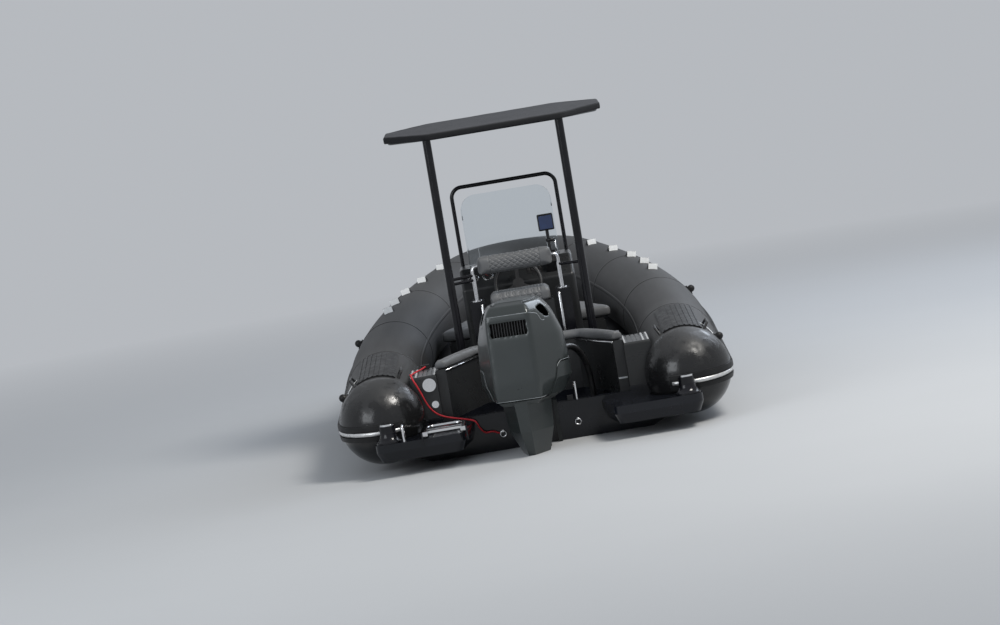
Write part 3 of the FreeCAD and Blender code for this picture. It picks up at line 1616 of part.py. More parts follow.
def make_propeller():
    """Twisted blades on a hub that flares at its end, bored for its shaft."""
    hub_radius = d.prop_hub.value
    length = d.prop_hub_length.value
    bore = d.prop_shaft.value + d.pin_gap.value
    lip = 5
    outline = Part.makePolygon([
        Vector(bore, 0, 0), Vector(hub_radius, 0, 0), Vector(hub_radius - lip, -length + 4 * lip, 0),
        Vector(hub_radius + lip, -length, 0), Vector(hub_radius - lip, -length, 0),
        Vector(hub_radius - 3 * lip, -length * 0.6, 0), Vector(bore + 2 * lip, -length * 0.6, 0),
        Vector(bore + 2 * lip, -length + 2 * lip, 0), Vector(bore, -length + 2 * lip, 0), Vector(bore, 0, 0),
    ])
    hub = Part.Face(outline).revolve(ORIGIN, AXIS_Y, 360)
    blades = []
    for number in range(int(d.prop_blades.value)):
        blade = blade_shape()
        blade.translate(Vector(0, -length * 0.42, 0))
        blade.rotate(ORIGIN, AXIS_Y, 360 / d.prop_blades.value * number)
        blades.append(blade)
    inside = Part.makeCylinder(hub_radius - 2 * lip, length, ORIGIN, -AXIS_Y)
    blades = [blade.cut(inside) for blade in blades]
    prop = hub.multiFuse(blades).removeSplitter()
    prop.translate(Vector(0, propeller_front(), d.prop_height.value))
    keep(solid("propeller", steered(prop)), "propeller")


# Engine cover sections from the bottom up, as shares: height, widest half-width, half-width of the
# flat rear panel, reach of the rear face, set-back of the front face as a share of the length
COWL_SECTIONS = [
    (0.0, 0.55, 0.77, 0.937, 0.137),
    (0.057, 0.82, 1.0, 0.993, 0.085),
    (0.20, 1.0, 1.0, 1.0, 0.007),
    (0.40, 0.985, 1.0, 0.987, 0.0),
    (0.627, 0.94, 1.0, 0.970, 0.020),
    (0.812, 0.79, 0.98, 0.955, 0.085),
    (0.89, 0.70, 0.965, 0.945, 0.150),
    (0.969, 0.565, 0.83, 0.875, 0.242),
    (1.0, 0.36, 0.55, 0.762, 0.386),
]


def cowl_height(share):
    return d.cowl_bottom.value + (d.cowl_top.value - d.cowl_bottom.value) * share


def cowl_outline(section, inset):
    """A plan outline of the cover at one section: flat rear panel, creases, full sides, round front."""
    height, width, panel, reach, setback = section
    length = d.cowl_rear.value + d.cowl_front.value
    half = d.cowl_half_width.value * width - inset
    rear = inset - d.cowl_rear.value * reach
    front = d.cowl_front.value - length * setback - inset
    crease = d.cowl_panel.value * panel - 0.57 * inset
    widest = rear + 0.41 * (front - rear)
    z = cowl_height(height)
    if inset and height == 0.0:
        z -= 1
    if inset and height == 1.0:
        z -= inset
    right = [(crease, rear), (1.06 * half, widest), (0.7 * half, front)]
    corners = [(x, y, z) for x, y in right + [(-x, y) for x, y in reversed(right)]]
    bends = [0.045 * half, 0.7 * half, 0.3 * half]
    return bent_wire(corners, bends + bends[::-1], closed=True)


def cowl_form(inset=0.0):
    return Part.makeLoft([cowl_outline(section, inset) for section in COWL_SECTIONS], True, True)


def seam_region(above, clearance):
    """The space above or below the joint of the covers, low at the rear and high along the sides."""
    rear = d.cowl_seam.value - clearance
    side = d.cowl_side_seam.value - clearance
    far = 2 * d.cowl_rear.value
    end = 2 * d.cowl_top.value if above else -d.cowl_top.value
    step = -d.cowl_rear.value * 0.82
    rise = d.cowl_rear.value * 0.12
    corner = d.cowl_rear.value / 18
    points = [(-far, rear), (step, rear), (step + rise, side), (far, side), (far, end), (-far, end)]
    wire = bent_wire([(-far, y, z) for y, z in points], [0, corner, corner, 0, 0, 0], closed=True)
    return Part.Face(wire).extrude(Vector(2 * far, 0, 0))


def rear_face(z):
    """Y of the rear panel at a height, between the sections on either side of it."""
    rows = [(cowl_height(section[0]), -d.cowl_rear.value * section[3]) for section in COWL_SECTIONS]
    for (z0, y0), (z1, y1) in zip(rows, rows[1:]):
        if z0 <= z <= z1:
            return y0 + (y1 - y0) * (z - z0) / (z1 - z0)
    return rows[-1][1]


def vent_cut():
    """The opening of the rear vent, through the wall only."""
    half = d.vent_half_width.value
    low = d.vent_bottom.value
    top = d.vent_top.value
    start = rear_face(low) - d.cowl_wall.value
    wire = bent_wire([(half, start, low), (half, start, top), (-half, start, top), (-half, start, low)],
                     d.cowl_wall.value, closed=True)
    return Part.Face(wire).extrude(Vector(0, 4 * d.cowl_wall.value, 0))


def vent_slats():
    """Upright slats set back in the vent, let into the wall above and below it."""
    wall = d.cowl_wall.value
    low = d.vent_bottom.value - wall / 3
    top = d.vent_top.value + wall / 3
    profile = [(rear_face(low) + wall / 2, low), (rear_face(top) + wall / 2, top),
               (rear_face(top) + 2 * wall, top), (rear_face(low) + 2 * wall, low)]
    count = int(d.vent_slats.value)
    pitch = 2 * d.vent_half_width.value / (count + 1)
    thick = d.vent_slat.value
    return [side_plate(profile, pitch * (number + 1) - d.vent_half_width.value - thick / 2, thick)
            for number in range(count)]


def cap_groove():
    """The shallow groove that runs round the cover below its cap, lower towards the front."""
    top = cowl_height(0.895)
    fall = 0.22
    far = d.cowl_rear.value
    deep = d.cowl_groove.value
    high = top + fall * far * 0.2
    low = top - fall * far * 1.3
    slab = side_plate([(-far * 1.2, high), (far * 0.3, low), (far * 0.3, low - deep),
                       (-far * 1.2, high - deep)], -far, 2 * far)
    return slab.cut(cowl_form(deep))


def shoulder_slot():
    """A slanting hand hold through the starboard shoulder of the cap, cut fore and aft."""
    x, z, length, width, lean = SHOULDER_SLOT
    half = length / 2
    corners = [(half, 0, width / 2), (half, 0, -width / 2), (-half, 0, -width / 2), (-half, 0, width / 2)]
    face = Part.Face(bent_wire(corners, 0.45 * width, closed=True))
    slot = face.extrude(Vector(0, 0.3 * d.cowl_rear.value, 0))
    slot.rotate(ORIGIN, AXIS_Y, lean)
    slot.translate(Vector(x, -0.92 * d.cowl_rear.value, z))
    return slot


# The slot in the cover's shoulder: X, Z, length, width and lean from level
SHOULDER_SLOT = (216, 962, 86, 26, 56)


def fairing_shape():
    """The V-shaped apron below the rear of the cover, round the leg."""
    front = leg_front() - 12
    rear = -d.cowl_rear.value
    panel = d.cowl_panel.value
    low = -d.fairing_bottom.value
    return Part.makeLoft([
        strut_section(low, leg_front(), 0.4, propeller_front() - 10, d.leg_half_width.value),
        strut_section(low + 0.6 * (d.cowl_bottom.value - low), front, 0.5, rear * 0.92, panel),
        strut_section(d.cowl_seam.value - 2, front, 0.5, rear * 0.965, 1.12 * panel),
    ], True, True)


def make_covers():
    """The lower cowl with its apron, the hollow hood with its vent, and the powerhead inside."""
    form = cowl_form()
    leg = leg_shape()
    lower = form.common(seam_region(False, d.face_gap.value)).fuse(fairing_shape()).cut(leg).removeSplitter()
    lower = max(lower.Solids, key=lambda piece: piece.Volume)
    hood = form.cut(cowl_form(d.cowl_wall.value)).common(seam_region(True, 0.0))
    slots = [shoulder_slot(), mirrored(shoulder_slot())]
    hood = hood.cut([cap_groove(), vent_cut()] + slots).multiFuse(vent_slats()).removeSplitter()
    hood = max(hood.Solids, key=lambda piece: piece.Volume)
    side = d.cowl_side_seam.value
    panel = d.cowl_panel.value
    block = Part.makeBox(2 * panel, 0.55 * d.cowl_rear.value, 0.33 * (d.cowl_top.value - d.cowl_bottom.value),
                         Vector(-panel, -0.76 * d.cowl_rear.value, side))
    keep(solid("midsection", steered(leg)), "midsection")
    keep(solid("lower_cowl", steered(lower)), "lower_cowl")
    keep(solid("upper_cowl", steered(hood)), "upper_cowl")
    keep(solid("powerhead", steered(block)), "powerhead")
    start = Vector(*HOSE_ROUTE[0])
    along = (Vector(*HOSE_ROUTE[1]) - start).normalize()
    reach = 4 * d.gland_radius.value
    gland = Part.makeCylinder(d.gland_radius.value, reach, start - along * reach, along).cut(steered(form))
    gland = max(gland.Solids, key=lambda piece: piece.CenterOfMass.y)
    keep(solid("hose_gland", gland), "hose_gland")


def make_engine():
    make_brackets()
    make_covers()
    make_gearcase()
    make_propeller()


# The rigging hose, from its gland on the hood over to its flange in the well's floor
HOSE_ROUTE = [
    (194, 73, 572), (220, 116, 605), (261, 185, 625), (302, 255, 617), (339, 318, 584),
    (369, 370, 527), (390, 404, 455), (401, 424, 372), (404, 429, 288), (405, 430, 205),
]
# The rope, from its cleat over the port quarter and along the transom to the port ring
ROPE_ROUTE = [
    (-745, 545, 614), (-772, 450, 608), (-806, 350, 607), (-828, 240, 607), (-838, 140, 608),
    (-839, 70, 614), (-836, 10, 626), (-824, -24, 588), (-798, -28, 532), (-774, -26, 462),
    (-750, -24, 394), (-712, -25, 340), (-660, -30, 306), (-590, -36, 283), (-520, -40, 266),
    (-470, -42, 252), (-436, -42, 234), (-421, -42, 184), (-385, -38, 140), (-331, -32, 150),
    (-291, -16, 124),
]


def cord_shape(route, radius, name):
    """A cord's tube: each arc takes 0.45 of its shorter run."""
    points = [Vector(*p) for p in route]
    bends = [0.0] * len(points)
    for i in range(1, len(points) - 1):
        back = points[i - 1] - points[i]
        ahead = points[i + 1] - points[i]
        half_turn = (math.pi - back.getAngle(ahead)) / 2
        bends[i] = 0.45 * min(back.Length, ahead.Length) / math.tan(half_turn)
    print(name, "radii", [round(b) for b in bends[1:-1]])
    return tube_shape(route, radius, bends)


def finished(label):
    """The shape of a sub-part that is already made."""
    doc.recompute()
    return [feature for feature in nodes if feature.Label == label][0].Shape


def make_cords():
    """The hose and the rope, each trimmed to the faces that it ends on."""
    ends = finished("well_fittings")
    hose = cord_shape(HOSE_ROUTE, d.hose_radius.value, "hose").cut(ends)
    keep(solid("rigging_hose", hose.cut(finished("hose_gland"))), "rigging_hose")
    rope = cord_shape(ROPE_ROUTE, d.rope_radius.value, "rope").cut(ends)
    keep(solid("red_rope", rope.cut(finished("transom_eyes"))), "red_rope")


def check_and_export():
    doc.recompute()
    for feature in doc.Objects:
        if "Invalid" in feature.State or "Error" in feature.State:
            raise RuntimeError(f"{feature.Name} failed: {feature.State}")
    os.makedirs("parts", exist_ok=True)
    for feature in nodes:
        shape = feature.Shape
        if shape.isNull() or not shape.isValid() or not shape.Solids:
            raise RuntimeError(f"{feature.Label} has no valid solid")
        shape.exportStep(f"parts/{feature.Label}.step")


make_collar()
make_rub_strake()
make_collar_fittings()
make_hull()
make_bow_fittings()
make_stern()
make_stern_fittings()
make_platforms()
make_ladder()
make_seat()
make_top()
make_braces()
make_console()
make_wheel()
make_bow_locker()
make_engine()
make_cords()
check_and_export()
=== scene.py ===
"""Looks of the inflatable RIB boat. Metres: +X starboard, +Y forward, +Z up, the waterline at Z 0."""
import json
import math

import bmesh
import bpy
from mathutils import Matrix, Vector, noise
from mathutils.bvhtree import BVHTree


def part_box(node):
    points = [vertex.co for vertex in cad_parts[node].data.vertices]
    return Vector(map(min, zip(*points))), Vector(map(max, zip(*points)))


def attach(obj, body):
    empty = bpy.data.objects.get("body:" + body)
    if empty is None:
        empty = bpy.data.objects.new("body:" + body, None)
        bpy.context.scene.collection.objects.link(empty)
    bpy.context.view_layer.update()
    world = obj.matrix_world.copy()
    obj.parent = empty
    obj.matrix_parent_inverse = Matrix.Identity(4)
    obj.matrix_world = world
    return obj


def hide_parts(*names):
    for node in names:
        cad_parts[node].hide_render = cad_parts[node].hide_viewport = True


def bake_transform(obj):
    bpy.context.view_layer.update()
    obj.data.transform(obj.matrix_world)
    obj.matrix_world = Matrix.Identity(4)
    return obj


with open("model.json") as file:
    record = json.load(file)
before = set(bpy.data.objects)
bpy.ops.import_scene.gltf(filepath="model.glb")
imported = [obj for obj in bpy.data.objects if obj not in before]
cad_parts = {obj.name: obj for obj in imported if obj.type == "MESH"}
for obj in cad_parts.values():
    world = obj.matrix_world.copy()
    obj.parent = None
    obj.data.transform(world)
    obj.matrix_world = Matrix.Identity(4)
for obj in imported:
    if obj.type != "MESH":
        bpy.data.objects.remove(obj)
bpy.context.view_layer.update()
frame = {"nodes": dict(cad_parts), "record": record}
nodes = frame["nodes"]

STARBOARD = 1
PORT = -1
SIDES = (STARBOARD, PORT)
SIDE_NAMES = {STARBOARD: "starboard", PORT: "port"}

# The collar's line, as the CAD draws it
TUBE_RADIUS = 0.287
TUBE_GAUGE = 1.075
TUBE_HEIGHT = 0.348
TUBE_AFT = 0.05
STERN_PITCH = 3.0
CONE_LENGTH = 0.33
SIDE_RUN = 1.476
SHEER = (6.0, 1.6)
FLANK = (13.1, 17.6)
SHOULDER = (0.713, 20.0)
STRAKE_ANGLE = 96.0
STRAKE_BASE = 0.020


# Materials

class Paint:
    """A Principled material whose colour, roughness and bump are built up from patterns."""

    def __init__(self, name, colour, roughness, **sockets):
        self.material = bpy.data.materials.new(name)
        self.material.use_nodes = True
        self.tree = self.material.node_tree
        self.shader = self.tree.nodes["Principled BSDF"]
        self.shader.inputs["Base Color"].default_value = (*colour, 1.0)
        self.shader.inputs["Roughness"].default_value = roughness
        for socket, value in sockets.items():
            self.shader.inputs[socket.replace("_", " ")].default_value = value
        source = self.add("ShaderNodeTexCoord")
        self.coordinates = source.outputs["Object"]
        self.normals = source.outputs["Normal"]

    def add(self, kind, **settings):
        node = self.tree.nodes.new(kind)
        for key, value in settings.items():
            setattr(node, key, value)
        return node

    def link(self, start, end):
        self.tree.links.new(start, end)

    def stretched(self, scale):
        """Object coordinates, multiplied along each axis."""
        mapping = self.add("ShaderNodeMapping")
        mapping.inputs["Scale"].default_value = scale
        self.link(self.coordinates, mapping.inputs["Vector"])
        return mapping.outputs["Vector"]

    def texture(self, kind, output, scale, at=None, **settings):
        node = self.add(kind, **settings)
        node.inputs["Scale"].default_value = scale
        self.link(at or self.coordinates, node.inputs["Vector"])
        return node.outputs[output]

    def noise(self, scale, detail, at=None):
        pattern = self.texture("ShaderNodeTexNoise", "Fac", scale, at)
        pattern.node.inputs["Detail"].default_value = detail
        return pattern

    def cells(self, scale):
        return self.texture("ShaderNodeTexVoronoi", "Distance", scale)

    def ribs(self, scale, direction):
        return self.texture("ShaderNodeTexWave", "Fac", scale, bands_direction=direction)

    def facing(self, direction):
        """How far the surface faces a direction of the object, from -1 to 1."""
        node = self.add("ShaderNodeVectorMath", operation="DOT_PRODUCT")
        self.link(self.normals, node.inputs[0])
        node.inputs[1].default_value = direction
        return node.outputs["Value"]

    def spread(self, pattern, low, high, start=0.3, end=0.7):
        """The pattern between start and end, mapped to low and high."""
        node = self.add("ShaderNodeMapRange")
        node.inputs["From Min"].default_value = start
        node.inputs["From Max"].default_value = end
        node.inputs["To Min"].default_value = low
        node.inputs["To Max"].default_value = high
        self.link(pattern, node.inputs["Value"])
        return node.outputs["Result"]

    def join(self, operation, first, second):
        node = self.add("ShaderNodeMath", operation=operation)
        self.link(first, node.inputs[0])
        if isinstance(second, (int, float)):
            node.inputs[1].default_value = second
        else:
            self.link(second, node.inputs[1])
        return node.outputs[0]

    def colours(self, pattern, low, high, start=0.3, end=0.7):
        """The base colour goes from one colour to the other with the pattern."""
        node = self.add("ShaderNodeMix", data_type="RGBA")
        self.link(self.spread(pattern, 0.0, 1.0, start, end), node.inputs["Factor"])
        node.inputs["A"].default_value = (*low, 1.0)
        node.inputs["B"].default_value = (*high, 1.0)
        self.link(node.outputs["Result"], self.shader.inputs["Base Color"])
        return self

    def rough(self, pattern, low, high, start=0.3, end=0.7):
        self.link(self.spread(pattern, low, high, start, end), self.shader.inputs["Roughness"])
        return self

    def bump(self, pattern, distance, strength=1.0):
        """Adds relief on top of any that is already there."""
        node = self.add("ShaderNodeBump")
        node.inputs["Distance"].default_value = distance
        node.inputs["Strength"].default_value = strength
        self.link(pattern, node.inputs["Height"])
        normal = self.shader.inputs["Normal"]
        if normal.links:
            self.link(normal.links[0].from_socket, node.inputs["Normal"])
        self.link(node.outputs["Normal"], normal)
        return self


def plain_paint(name, colour, roughness, shades=None, rough=None, relief=None, **sockets):
    """A material from up to three noises, each a scale, a detail and the two values it goes between."""
    paint = Paint(name, colour, roughness, **sockets)
    if shades:
        paint.colours(paint.noise(*shades[:2]), *shades[2:])
    if rough:
        paint.rough(paint.noise(*rough[:2]), *rough[2:])
    if relief:
        paint.bump(paint.noise(*relief[:2]), *relief[2:])
    return paint.material


def tube_fabric():
    """Coated tube cloth: fine grain, faint smears and a dull sheen."""
    paint = Paint("tube_fabric", (0.04, 0.04, 0.04), 0.6, Specular_IOR_Level=0.35)
    along = paint.stretched((1.0, 0.12, 1.0))
    paint.colours(paint.noise(3, 4, along), (0.036, 0.036, 0.037), (0.044, 0.0437, 0.0435))
    paint.rough(paint.noise(7, 3, along), 0.54, 0.62)
    return paint.bump(paint.noise(700, 2), 0.0002, 0.2).bump(paint.noise(5, 2, along), 0.002, 0.15).material


def cone_rubber():
    """Moulded end cone: matt like the tube on top, wet and glossy lower down."""
    paint = Paint("cone_rubber", (0.02, 0.02, 0.02), 0.3, Specular_IOR_Level=0.45)
    paint.colours(paint.facing((0, 0, 1)), (0.012, 0.012, 0.0125), (0.034, 0.034, 0.0345), 0.45, 0.95)
    wet = paint.join("ADD", paint.facing((0, 0, 1)), paint.spread(paint.noise(16, 5), -0.45, 0.45))
    paint.rough(wet, 0.17, 0.55, 0.3, 0.95)
    drops = paint.spread(paint.cells(60), 1.0, 0.0, 0.0, 0.35)
    return paint.bump(drops, 0.0012, 0.45).bump(paint.noise(26, 5), 0.0022, 0.4).material


def deck_tread():
    """Grey foam decking with ribs fore and aft."""
    paint = Paint("deck_tread", (0.05, 0.05, 0.052), 0.8)
    plank = paint.ribs(9.0, "X")
    paint.colours(plank, (0.014, 0.014, 0.015), (0.055, 0.055, 0.057), 0.02, 0.16)
    return paint.bump(plank, 0.003, 0.5).bump(paint.noise(420, 3), 0.0006, 0.5).material


def vinyl():
    """Grey seat vinyl with a fine grain."""
    paint = Paint("grey_vinyl", (0.125, 0.128, 0.132), 0.46, Specular_IOR_Level=0.4)
    paint.colours(paint.noise(5, 4), (0.112, 0.115, 0.119), (0.138, 0.141, 0.145))
    paint.rough(paint.noise(16, 4), 0.38, 0.55)
    return paint.bump(paint.cells(420), 0.0004, 0.4).bump(paint.noise(12, 3), 0.0015, 0.15).material


def canvas():
    """Dark roof cloth, coarse woven, with painted light: its upward faces are coloured lighter than its
    sides, and its tone varies a little at random.
    """
    paint = Paint("canvas", (0.026, 0.027, 0.03), 0.8, Specular_IOR_Level=0.25)
    weave = paint.join("ADD", paint.ribs(190, "X"), paint.ribs(190, "Y"))
    # Painted light: the colour runs from dark on the sides to light on faces that look up, scaled by a random
    # unevenness in tone.
    top_light_and_tone = paint.join("MULTIPLY", paint.facing((0, 0, 1)), paint.spread(paint.noise(4, 5), 0.9, 1.05))
    paint.colours(top_light_and_tone, (0.011, 0.0115, 0.013), (0.050, 0.051, 0.056), 0.5, 0.98)
    return paint.bump(weave, 0.0006, 0.4).bump(paint.noise(7, 4), 0.004, 0.3).material


def acrylic():
    paint = Paint("acrylic", (0.86, 0.9, 0.92), 0.03, Transmission_Weight=1.0, IOR=1.2)
    paint.rough(paint.noise(7, 5), 0.01, 0.09, 0.45, 0.8)
    return paint.material


def cowl_paint():
    """Dark grey-green satin metallic paint on the engine's covers."""
    paint = Paint("cowl_paint", (0.032, 0.038, 0.038), 0.3, Metallic=0.25, Specular_IOR_Level=0.45,
                  Coat_Weight=0.35, Coat_Roughness=0.1)
    paint.colours(paint.noise(900, 2), (0.028, 0.034, 0.034), (0.037, 0.043, 0.043), 0.35, 0.65)
    return paint.rough(paint.noise(6, 4), 0.27, 0.37).material


def reflective():
    """Straps whose steep aft faces carry a white reflective sheet, black elsewhere."""
    paint = Paint("reflective", (0.8, 0.82, 0.83), 0.4)
    paint.colours(paint.facing((0, -1, 0)), (0.012, 0.012, 0.0125), (0.90, 0.91, 0.91), 0.3, 0.4)
    grid = paint.join("MULTIPLY", paint.ribs(60, "X"), paint.ribs(60, "Z"))
    return paint.bump(grid, 0.0003, 0.3).material


def white_webbing():
    """Flat woven strap and pale edging."""
    paint = Paint("white_webbing", (0.7, 0.72, 0.73), 0.6)
    paint.colours(paint.noise(40, 3), (0.62, 0.64, 0.65), (0.76, 0.78, 0.79))
    return paint.bump(paint.ribs(140, "Y"), 0.0005, 0.4).material


MATERIALS = {
    "tube_fabric": tube_fabric(),
    "cone_rubber": cone_rubber(),
    "strake_rubber": plain_paint(
        "black_rubber", (0.012, 0.012, 0.0125), 0.45, (12, 4, (0.010, 0.010, 0.0105), (0.017, 0.017, 0.0175)),
        (20, 4, 0.38, 0.55), (160, 3, 0.0004, 0.4), Specular_IOR_Level=0.25),
    "black_plastic": plain_paint(
        "black_plastic", (0.012, 0.012, 0.013), 0.42, (30, 3, (0.010, 0.010, 0.011), (0.017, 0.017, 0.018)),
        (15, 3, 0.34, 0.48), (700, 2, 0.0002, 0.5), Specular_IOR_Level=0.4),
    "reflective": reflective(),
    "hull_gelcoat": plain_paint(
        "gelcoat", (0.006, 0.007, 0.010), 0.16, (3, 5, (0.0055, 0.0065, 0.009), (0.009, 0.010, 0.014)),
        (8, 5, 0.10, 0.22), (3.5, 2, 0.002, 0.12),
        Specular_IOR_Level=0.3, Coat_Weight=0.1, Coat_Roughness=0.05),
    "moulding": plain_paint(
        "moulding", (0.022, 0.023, 0.024), 0.3, (3, 3, (0.020, 0.021, 0.022), (0.025, 0.026, 0.027)),
        (9, 4, 0.25, 0.36), (300, 2, 0.0002, 0.3), Specular_IOR_Level=0.4),
    "deck_tread": deck_tread(),
    "black_metal": plain_paint(
        "black_metal", (0.006, 0.006, 0.008), 0.15, (10, 3, (0.005, 0.005, 0.0065), (0.008, 0.008, 0.0105)),
        (14, 4, 0.1, 0.24), Specular_IOR_Level=0.28, Coat_Weight=0.1, Coat_Roughness=0.06),
    "grey_vinyl": vinyl(),
    "stainless": plain_paint(
        "stainless", (0.72, 0.72, 0.73), 0.14, None, (26, 4, 0.08, 0.24), (60, 3, 0.0002, 0.3), Metallic=1.0),
    "canvas": canvas(),
    "clear_acrylic": acrylic(),
    "engine_casting": plain_paint(
        "casting", (0.02, 0.023, 0.024), 0.36, (18, 4, (0.017, 0.020, 0.021), (0.025, 0.028, 0.029)),
        (25, 4, 0.3, 0.46), (240, 3, 0.0003, 0.4), Metallic=0.15, Specular_IOR_Level=0.4),
    "cowl_paint": cowl_paint(),
    "hose_black": plain_paint(
        "hose_black", (0.018, 0.018, 0.019), 0.3, (20, 3, (0.015, 0.015, 0.0158), (0.023, 0.023, 0.024)),
        (18, 3, 0.24, 0.38), Specular_IOR_Level=0.55),
    "rope_red": plain_paint(
        "rope_red", (0.55, 0.02, 0.03), 0.7, (300, 3, (0.42, 0.012, 0.02), (0.68, 0.03, 0.045)),
        None, (900, 2, 0.0006, 0.6)),
}
MATERIALS["tread_rubber"] = MATERIALS["strake_rubber"]
MATERIALS["wheel_black"] = MATERIALS["black_plastic"]

# Finishes of the pieces made here: a material, a body and a slot
TUBE_CLOTH = (MATERIALS["tube_fabric"], "hull", "tube_fabric")
CHROME = (MATERIALS["stainless"], "hull", "stainless")
BLACK = (MATERIALS["black_plastic"], "hull", "black_plastic")
LEG_BLACK = (MATERIALS["black_metal"], "hull", "black_metal")
NEEDLE = (MATERIALS["rope_red"], "hull", "black_plastic")
ROPE = (MATERIALS["rope_red"], "hull", "rope_red")
VENT_BLACK = (MATERIALS["black_plastic"], "engine", "cowl_paint")
HOOD_PAINT = (MATERIALS["cowl_paint"], "engine", "cowl_paint")
WEBBING = (white_webbing(), "hull", "reflective")
# Satin silver edging
SILVER = (plain_paint(
    "silver_trim", (0.66, 0.66, 0.66), 0.3, (30, 3, (0.60, 0.60, 0.60), (0.72, 0.72, 0.71)),
    (30, 3, 0.24, 0.38), Metallic=0.6), "hull", "stainless")
# A chart screen that shows plain blue
SCREEN = (plain_paint(
    "screen_glass", (0.012, 0.035, 0.12), 0.08, (9, 2, (0.010, 0.028, 0.10), (0.016, 0.045, 0.15)),
    (8, 2, 0.05, 0.14), Coat_Weight=0.6), "hull", "black_plastic")
# Painted highlight: a pale grey stands in for the light caught along the edges of the engine's covers
SEAM_HIGHLIGHT = (plain_paint(
    "cowl_edge", (0.30, 0.32, 0.33), 0.35, (14, 4, (0.16, 0.175, 0.18), (0.42, 0.44, 0.45)),
    (30, 3, 0.28, 0.42), Metallic=0.3), "engine", "cowl_paint")
# The braces are bright bar that is painted as the legs are
PAINTED = {"leg_braces": "black_metal"}


def dress_nodes():
    """Each CAD node takes the material of its slot in the record."""
    for row in frame["record"]["subparts"]:
        mesh = nodes[row["node"]].data
        mesh.materials.clear()
        mesh.materials.append(MATERIALS[PAINTED.get(row["node"], row["material_slot"])])


# Pieces

DISC_SIDES = 40


def add_object(name, data):
    made = bpy.data.objects.new(name, data)
    bpy.context.scene.collection.objects.link(made)
    return made


def coat(mesh, material, smooth=True):
    """One material over the whole mesh, shaded smooth or flat."""
    mesh.materials.clear()
    mesh.materials.append(material)
    for face in mesh.polygons:
        face.use_smooth = smooth


def piece(name, mesh, material, body, slot, smooth=True):
    """An object on a CAD body."""
    made = add_object(name, mesh)
    coat(mesh, material, smooth)
    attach(made, body)
    return made


def grid_mesh(name, rows, capped=True):
    """A mesh through closed rings of points."""
    count = len(rows[0])
    faces = []
    for first in range(0, (len(rows) - 1) * count, count):
        for j in range(count):
            right = (j + 1) % count
            faces.append((first + j, first + right, first + count + right, first + count + j))
    if capped:
        faces.append(tuple(reversed(range(count))))
        faces.append(tuple((len(rows) - 1) * count + j for j in range(count)))
    mesh = bpy.data.meshes.new(name)
    mesh.from_pydata([tuple(point) for row in rows for point in row], [], faces)
    work = bmesh.new()
    work.from_mesh(mesh)
    bmesh.ops.recalc_face_normals(work, faces=work.faces)
    work.to_mesh(mesh)
    work.free()
    return mesh


def frames_along(points):
    """A tangent and a steady sideways vector at each point of a path."""
    tangents = []
    for i in range(len(points)):
        ahead = points[min(i + 1, len(points) - 1)]
        behind = points[max(i - 1, 0)]
        tangents.append((ahead - behind).normalized())
    side = tangents[0].orthogonal().normalized()
    frames = []
    for tangent in tangents:
        side = (side - tangent * side.dot(tangent)).normalized()
        frames.append((tangent, side, tangent.cross(side)))
    return frames


def ring_points(point, side, up, sides, reach):
    """A ring of points round a place. The reach is a function of the angle."""
    ring = []
    for step in range(sides):
        angle = 2 * math.pi * step / sides
        away = reach(angle)
        ring.append(point + side * (away * math.cos(angle)) + up * (away * math.sin(angle)))
    return ring


def tube_rows(points, radius, sides=16):
    """Rings of points along a path. The radius is a number or a function of (distance, angle)."""
    rows = []
    travelled = 0.0
    for i, (point, (_, side, up)) in enumerate(zip(points, frames_along(points))):
        if i:
            travelled += (point - points[i - 1]).length
        reach = (lambda angle: radius(travelled, angle)) if callable(radius) else (lambda angle: radius)
        rows.append(ring_points(point, side, up, sides, reach))
    return rows


def tube_piece(name, points, radius, material, body, slot, sides=16):
    points = [Vector(point) for point in points]
    return piece(name, grid_mesh(name, tube_rows(points, radius, sides)), material, body, slot)


def disc(name, centre, normal, radius, thickness, material, body, slot, edge=0.0015):
    """A round plate with a softened rim, standing on a surface."""
    normal = Vector(normal).normalized()
    points = [Vector(centre) + normal * level for level in (0.0, thickness - edge, thickness)]
    rows = []
    for point, away, (_, side, up) in zip(points, (radius, radius, radius - edge), frames_along(points)):
        rows.append(ring_points(point, side, up, DISC_SIDES, lambda angle: away))
    piece(name, grid_mesh(name, rows), material, body, slot, smooth=False)


def block(name, low, high, material, body, slot, place=None, edge=0.001):
    """A box with softened edges, turned and moved by the place if there is one."""
    work = bmesh.new()
    bmesh.ops.create_cube(work, size=1.0)
    low = Vector(low)
    high = Vector(high)
    for vert in work.verts:
        for i in range(3):
            vert.co[i] = (low[i] + high[i]) / 2 + vert.co[i] * (high[i] - low[i])
    if edge:
        bmesh.ops.bevel(work, geom=work.edges[:], offset=edge, segments=2, profile=0.5, affect="EDGES")
    if place is not None:
        bmesh.ops.transform(work, matrix=place, verts=work.verts)
    mesh = bpy.data.meshes.new(name)
    work.to_mesh(mesh)
    work.free()
    return piece(name, mesh, material, body, slot, smooth=False)


def ribbon(name, points, normals, width, thickness, material, body, slot):
    """A flat strap along points, lying on a surface with the given normals."""
    rows = []
    for i, (point, normal) in enumerate(zip(points, normals)):
        ahead = points[min(i + 1, len(points) - 1)]
        behind = points[max(i - 1, 0)]
        across = (ahead - behind).cross(normal).normalized() * (width / 2)
        top = point + normal * thickness
        rows.append([point - across, point + across, top + across, top - across])
    piece(name, grid_mesh(name, rows), material, body, slot, smooth=False)


# The collar's line

